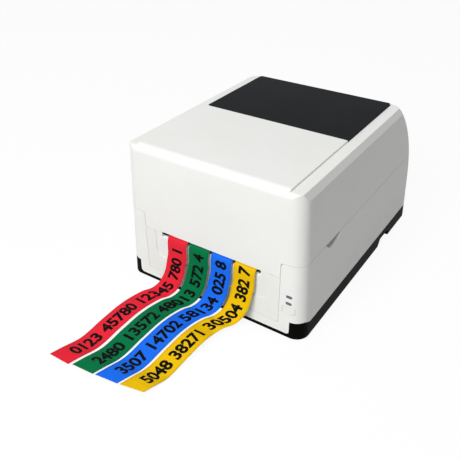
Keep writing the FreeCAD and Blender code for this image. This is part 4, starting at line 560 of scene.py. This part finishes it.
paper, stock = new_group("paper", ("Face", "Color", GREY), ("Fibre", "Color", (0.45, 0.45, 0.45, 1)),
                         ("Smooth", "Float", 0.35), ("Rough", "Float", 0.5))
where = add(paper, "TexCoord").outputs["Object"]
cloud = spread(paper, noise(paper, where, scale=120.0, detail=4.0), (0.35, 0.65), (0.0, 1.0))
fibre = noise(paper, where, scale=1600.0, detail=3.0)
put_out(paper, {
    "Color": blend_colour(paper, cloud, stock["Face"], stock["Fibre"]),
    "Roughness": spread(paper, fibre, (0.3, 0.7), (stock["Smooth"], stock["Rough"])),
    "Height": fibre})
MATT = {"Specular IOR Level": 0.06}
FIBRE_SHADE = 0.97
liner = surface("liner", paper, {"Face": paint(232, 229, 214), "Fibre": paint(224, 220, 204)},
                relief=0.15, depth=0.00005)
ink = surface("ink", paper, {"Face": paint(4, 4, 5), "Fibre": paint(8, 8, 9), "Smooth": 0.55, "Rough": 0.7},
              relief=0.1, depth=0.00004, plain=MATT)

inside = guided_route()
for (name, colour), middle in zip(TAPES, TAPE_MIDDLES):
    further, sway, skew = LAY[name]
    stretch = 1 + further * np.clip((FREE[:, 0] - LAY_START) / LAY_FULL, 0, 1)
    outer = np.stack([-FREE[:, 2] * (1 + sway), FRONT - FREE[:, 0] * stretch, FREE[:, 1]], axis=1)
    route = np.concatenate([np.column_stack([np.zeros(len(inside)), inside]), outer])
    line = smooth_run(route, TAPE_ROWS) + np.array([middle, 0, 0])
    normal = strip_normals(line)
    gone = np.concatenate([[0], np.cumsum(np.linalg.norm(np.diff(line[::-1], axis=0), axis=1))])
    slant = skew * np.clip(1 - gone[::-1] / SLANT_RUN, 0, 1)
    across = np.linspace(0, 1, TAPE_COLUMNS)
    wide = np.stack([np.broadcast_to(TAPE_WIDTH * (across - 0.5), (TAPE_ROWS, TAPE_COLUMNS)),
                     slant[:, None] * across, np.zeros((TAPE_ROWS, TAPE_COLUMNS))], axis=-1)
    shaded = tuple(FIBRE_SHADE * c for c in colour[:3]) + (1.0,)
    face = surface(f"paper_{name}", paper, {"Face": colour, "Fibre": shaded, "Smooth": 0.5, "Rough": 0.7},
                   relief=0.12, depth=0.00005, plain=MATT)
    tape = slab(f"tape_{name}", line, normal, wide, TAPE_THICK, [face, liner])
    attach(tape, "case")
    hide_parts(f"label_tape_{name}")
    numerals = print_numerals(name, line, normal, slant, gone)
    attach(numerals, "case")

# Studio. A white sheet under the printer, a broad lamp in front, a weaker one above and a little to the
# left, and the camera at the photograph's place.
FLOOR = -0.002
FLOOR_REACH = 6
FLOOR_GREY = (0.5, 0.5, 0.5, 1)
FLOOR_GLOW = 0.92
WORLD_LIGHT = 0.24
WHITE = (1, 1, 1, 1)


def seen_share(tree):
    """One for what the camera sees, straight, in a reflection or through glass, and nought for light."""
    ray = add(tree, "LightPath").outputs
    share = ray["Is Camera Ray"]
    for other in ("Is Glossy Ray", "Is Transmission Ray"):
        share = add(tree, "Math", {0: share, 1: ray[other]}, operation="MAXIMUM").outputs["Value"]
    return share


floor_mesh = bpy.data.meshes.new("floor")
corners = [(x * FLOOR_REACH, y * FLOOR_REACH, FLOOR) for x, y in ((-1, -1), (1, -1), (1, 1), (-1, 1))]
floor_mesh.from_pydata(corners, [], [(0, 1, 2, 3)])
floor = show("floor", floor_mesh)
sheet_white = bpy.data.materials.new("sheet_white")
sheet_white.use_nodes = True
tree = sheet_white.node_tree
shade = tree.nodes["Principled BSDF"]
shade.inputs["Base Color"].default_value = FLOOR_GREY
shade.inputs["Roughness"].default_value = 0.9
plain = add(tree, "BsdfDiffuse", {"Color": WHITE})
glow = add(tree, "Emission", {"Color": WHITE, "Strength": 1.0})
bright = add(tree, "MixShader", {"Fac": FLOOR_GLOW, 1: plain.outputs["BSDF"], 2: glow.outputs["Emission"]})
joined = add(tree, "MixShader", {
    "Fac": seen_share(tree), 1: shade.outputs["BSDF"], 2: bright.outputs["Shader"]})
tree.links.new(joined.outputs["Shader"], tree.nodes["Material Output"].inputs["Surface"])
floor_mesh.materials.append(sheet_white)

world = bpy.data.worlds.new("studio")
bpy.context.scene.world = world
world.use_nodes = True
tree = world.node_tree
tree.nodes.clear()
soft = add(tree, "Background", {"Color": WHITE, "Strength": WORLD_LIGHT})
plain_white = add(tree, "Background", {"Color": WHITE, "Strength": 1.0})
joined = add(tree, "MixShader", {
    "Fac": seen_share(tree), 1: soft.outputs["Background"], 2: plain_white.outputs["Background"]})
add(tree, "OutputWorld", {"Surface": joined.outputs["Shader"]})


def lamp(name, place, aim, size, power):
    """A square soft box that looks at a point."""
    light = bpy.data.lights.new(name, "AREA")
    light.size = size
    light.energy = power
    made = bpy.data.objects.new(name, light)
    turned = (Vector(aim) - Vector(place)).to_track_quat("-Z", "Y").to_matrix().to_4x4()
    made.matrix_world = Matrix.Translation(place) @ turned
    bpy.context.scene.collection.objects.link(made)


lamp("key", place=(-0.05, -1.95, 1.6), aim=(0, -0.05, 0.06), size=1.2, power=48)
lamp("top", place=(-0.3, 0.2, 2.2), aim=(0, 0, 0.1), size=1.6, power=10)

CAMERA_PLACE = (0.2777, -0.5240, 0.4048)
AZIMUTH, ELEVATION, ROLL = (math.radians(a) for a in (33.663, 33.664, -0.205))
sight = Vector((-math.sin(AZIMUTH) * math.cos(ELEVATION), math.cos(AZIMUTH) * math.cos(ELEVATION),
                -math.sin(ELEVATION)))
right = sight.cross(Vector((0, 0, 1))).normalized()
up = right.cross(sight)
lens = bpy.data.cameras.new("camera")
lens.lens = 45.842
lens.sensor_width = 36
camera = bpy.data.objects.new("camera", lens)
turned = Matrix((right, up, -sight)).transposed().to_4x4()
camera.matrix_world = Matrix.Translation(CAMERA_PLACE) @ turned @ Matrix.Rotation(ROLL, 4, "Z")
bpy.context.scene.collection.objects.link(camera)
bpy.context.scene.camera = camera
bpy.context.scene.view_settings.view_transform = "Standard"
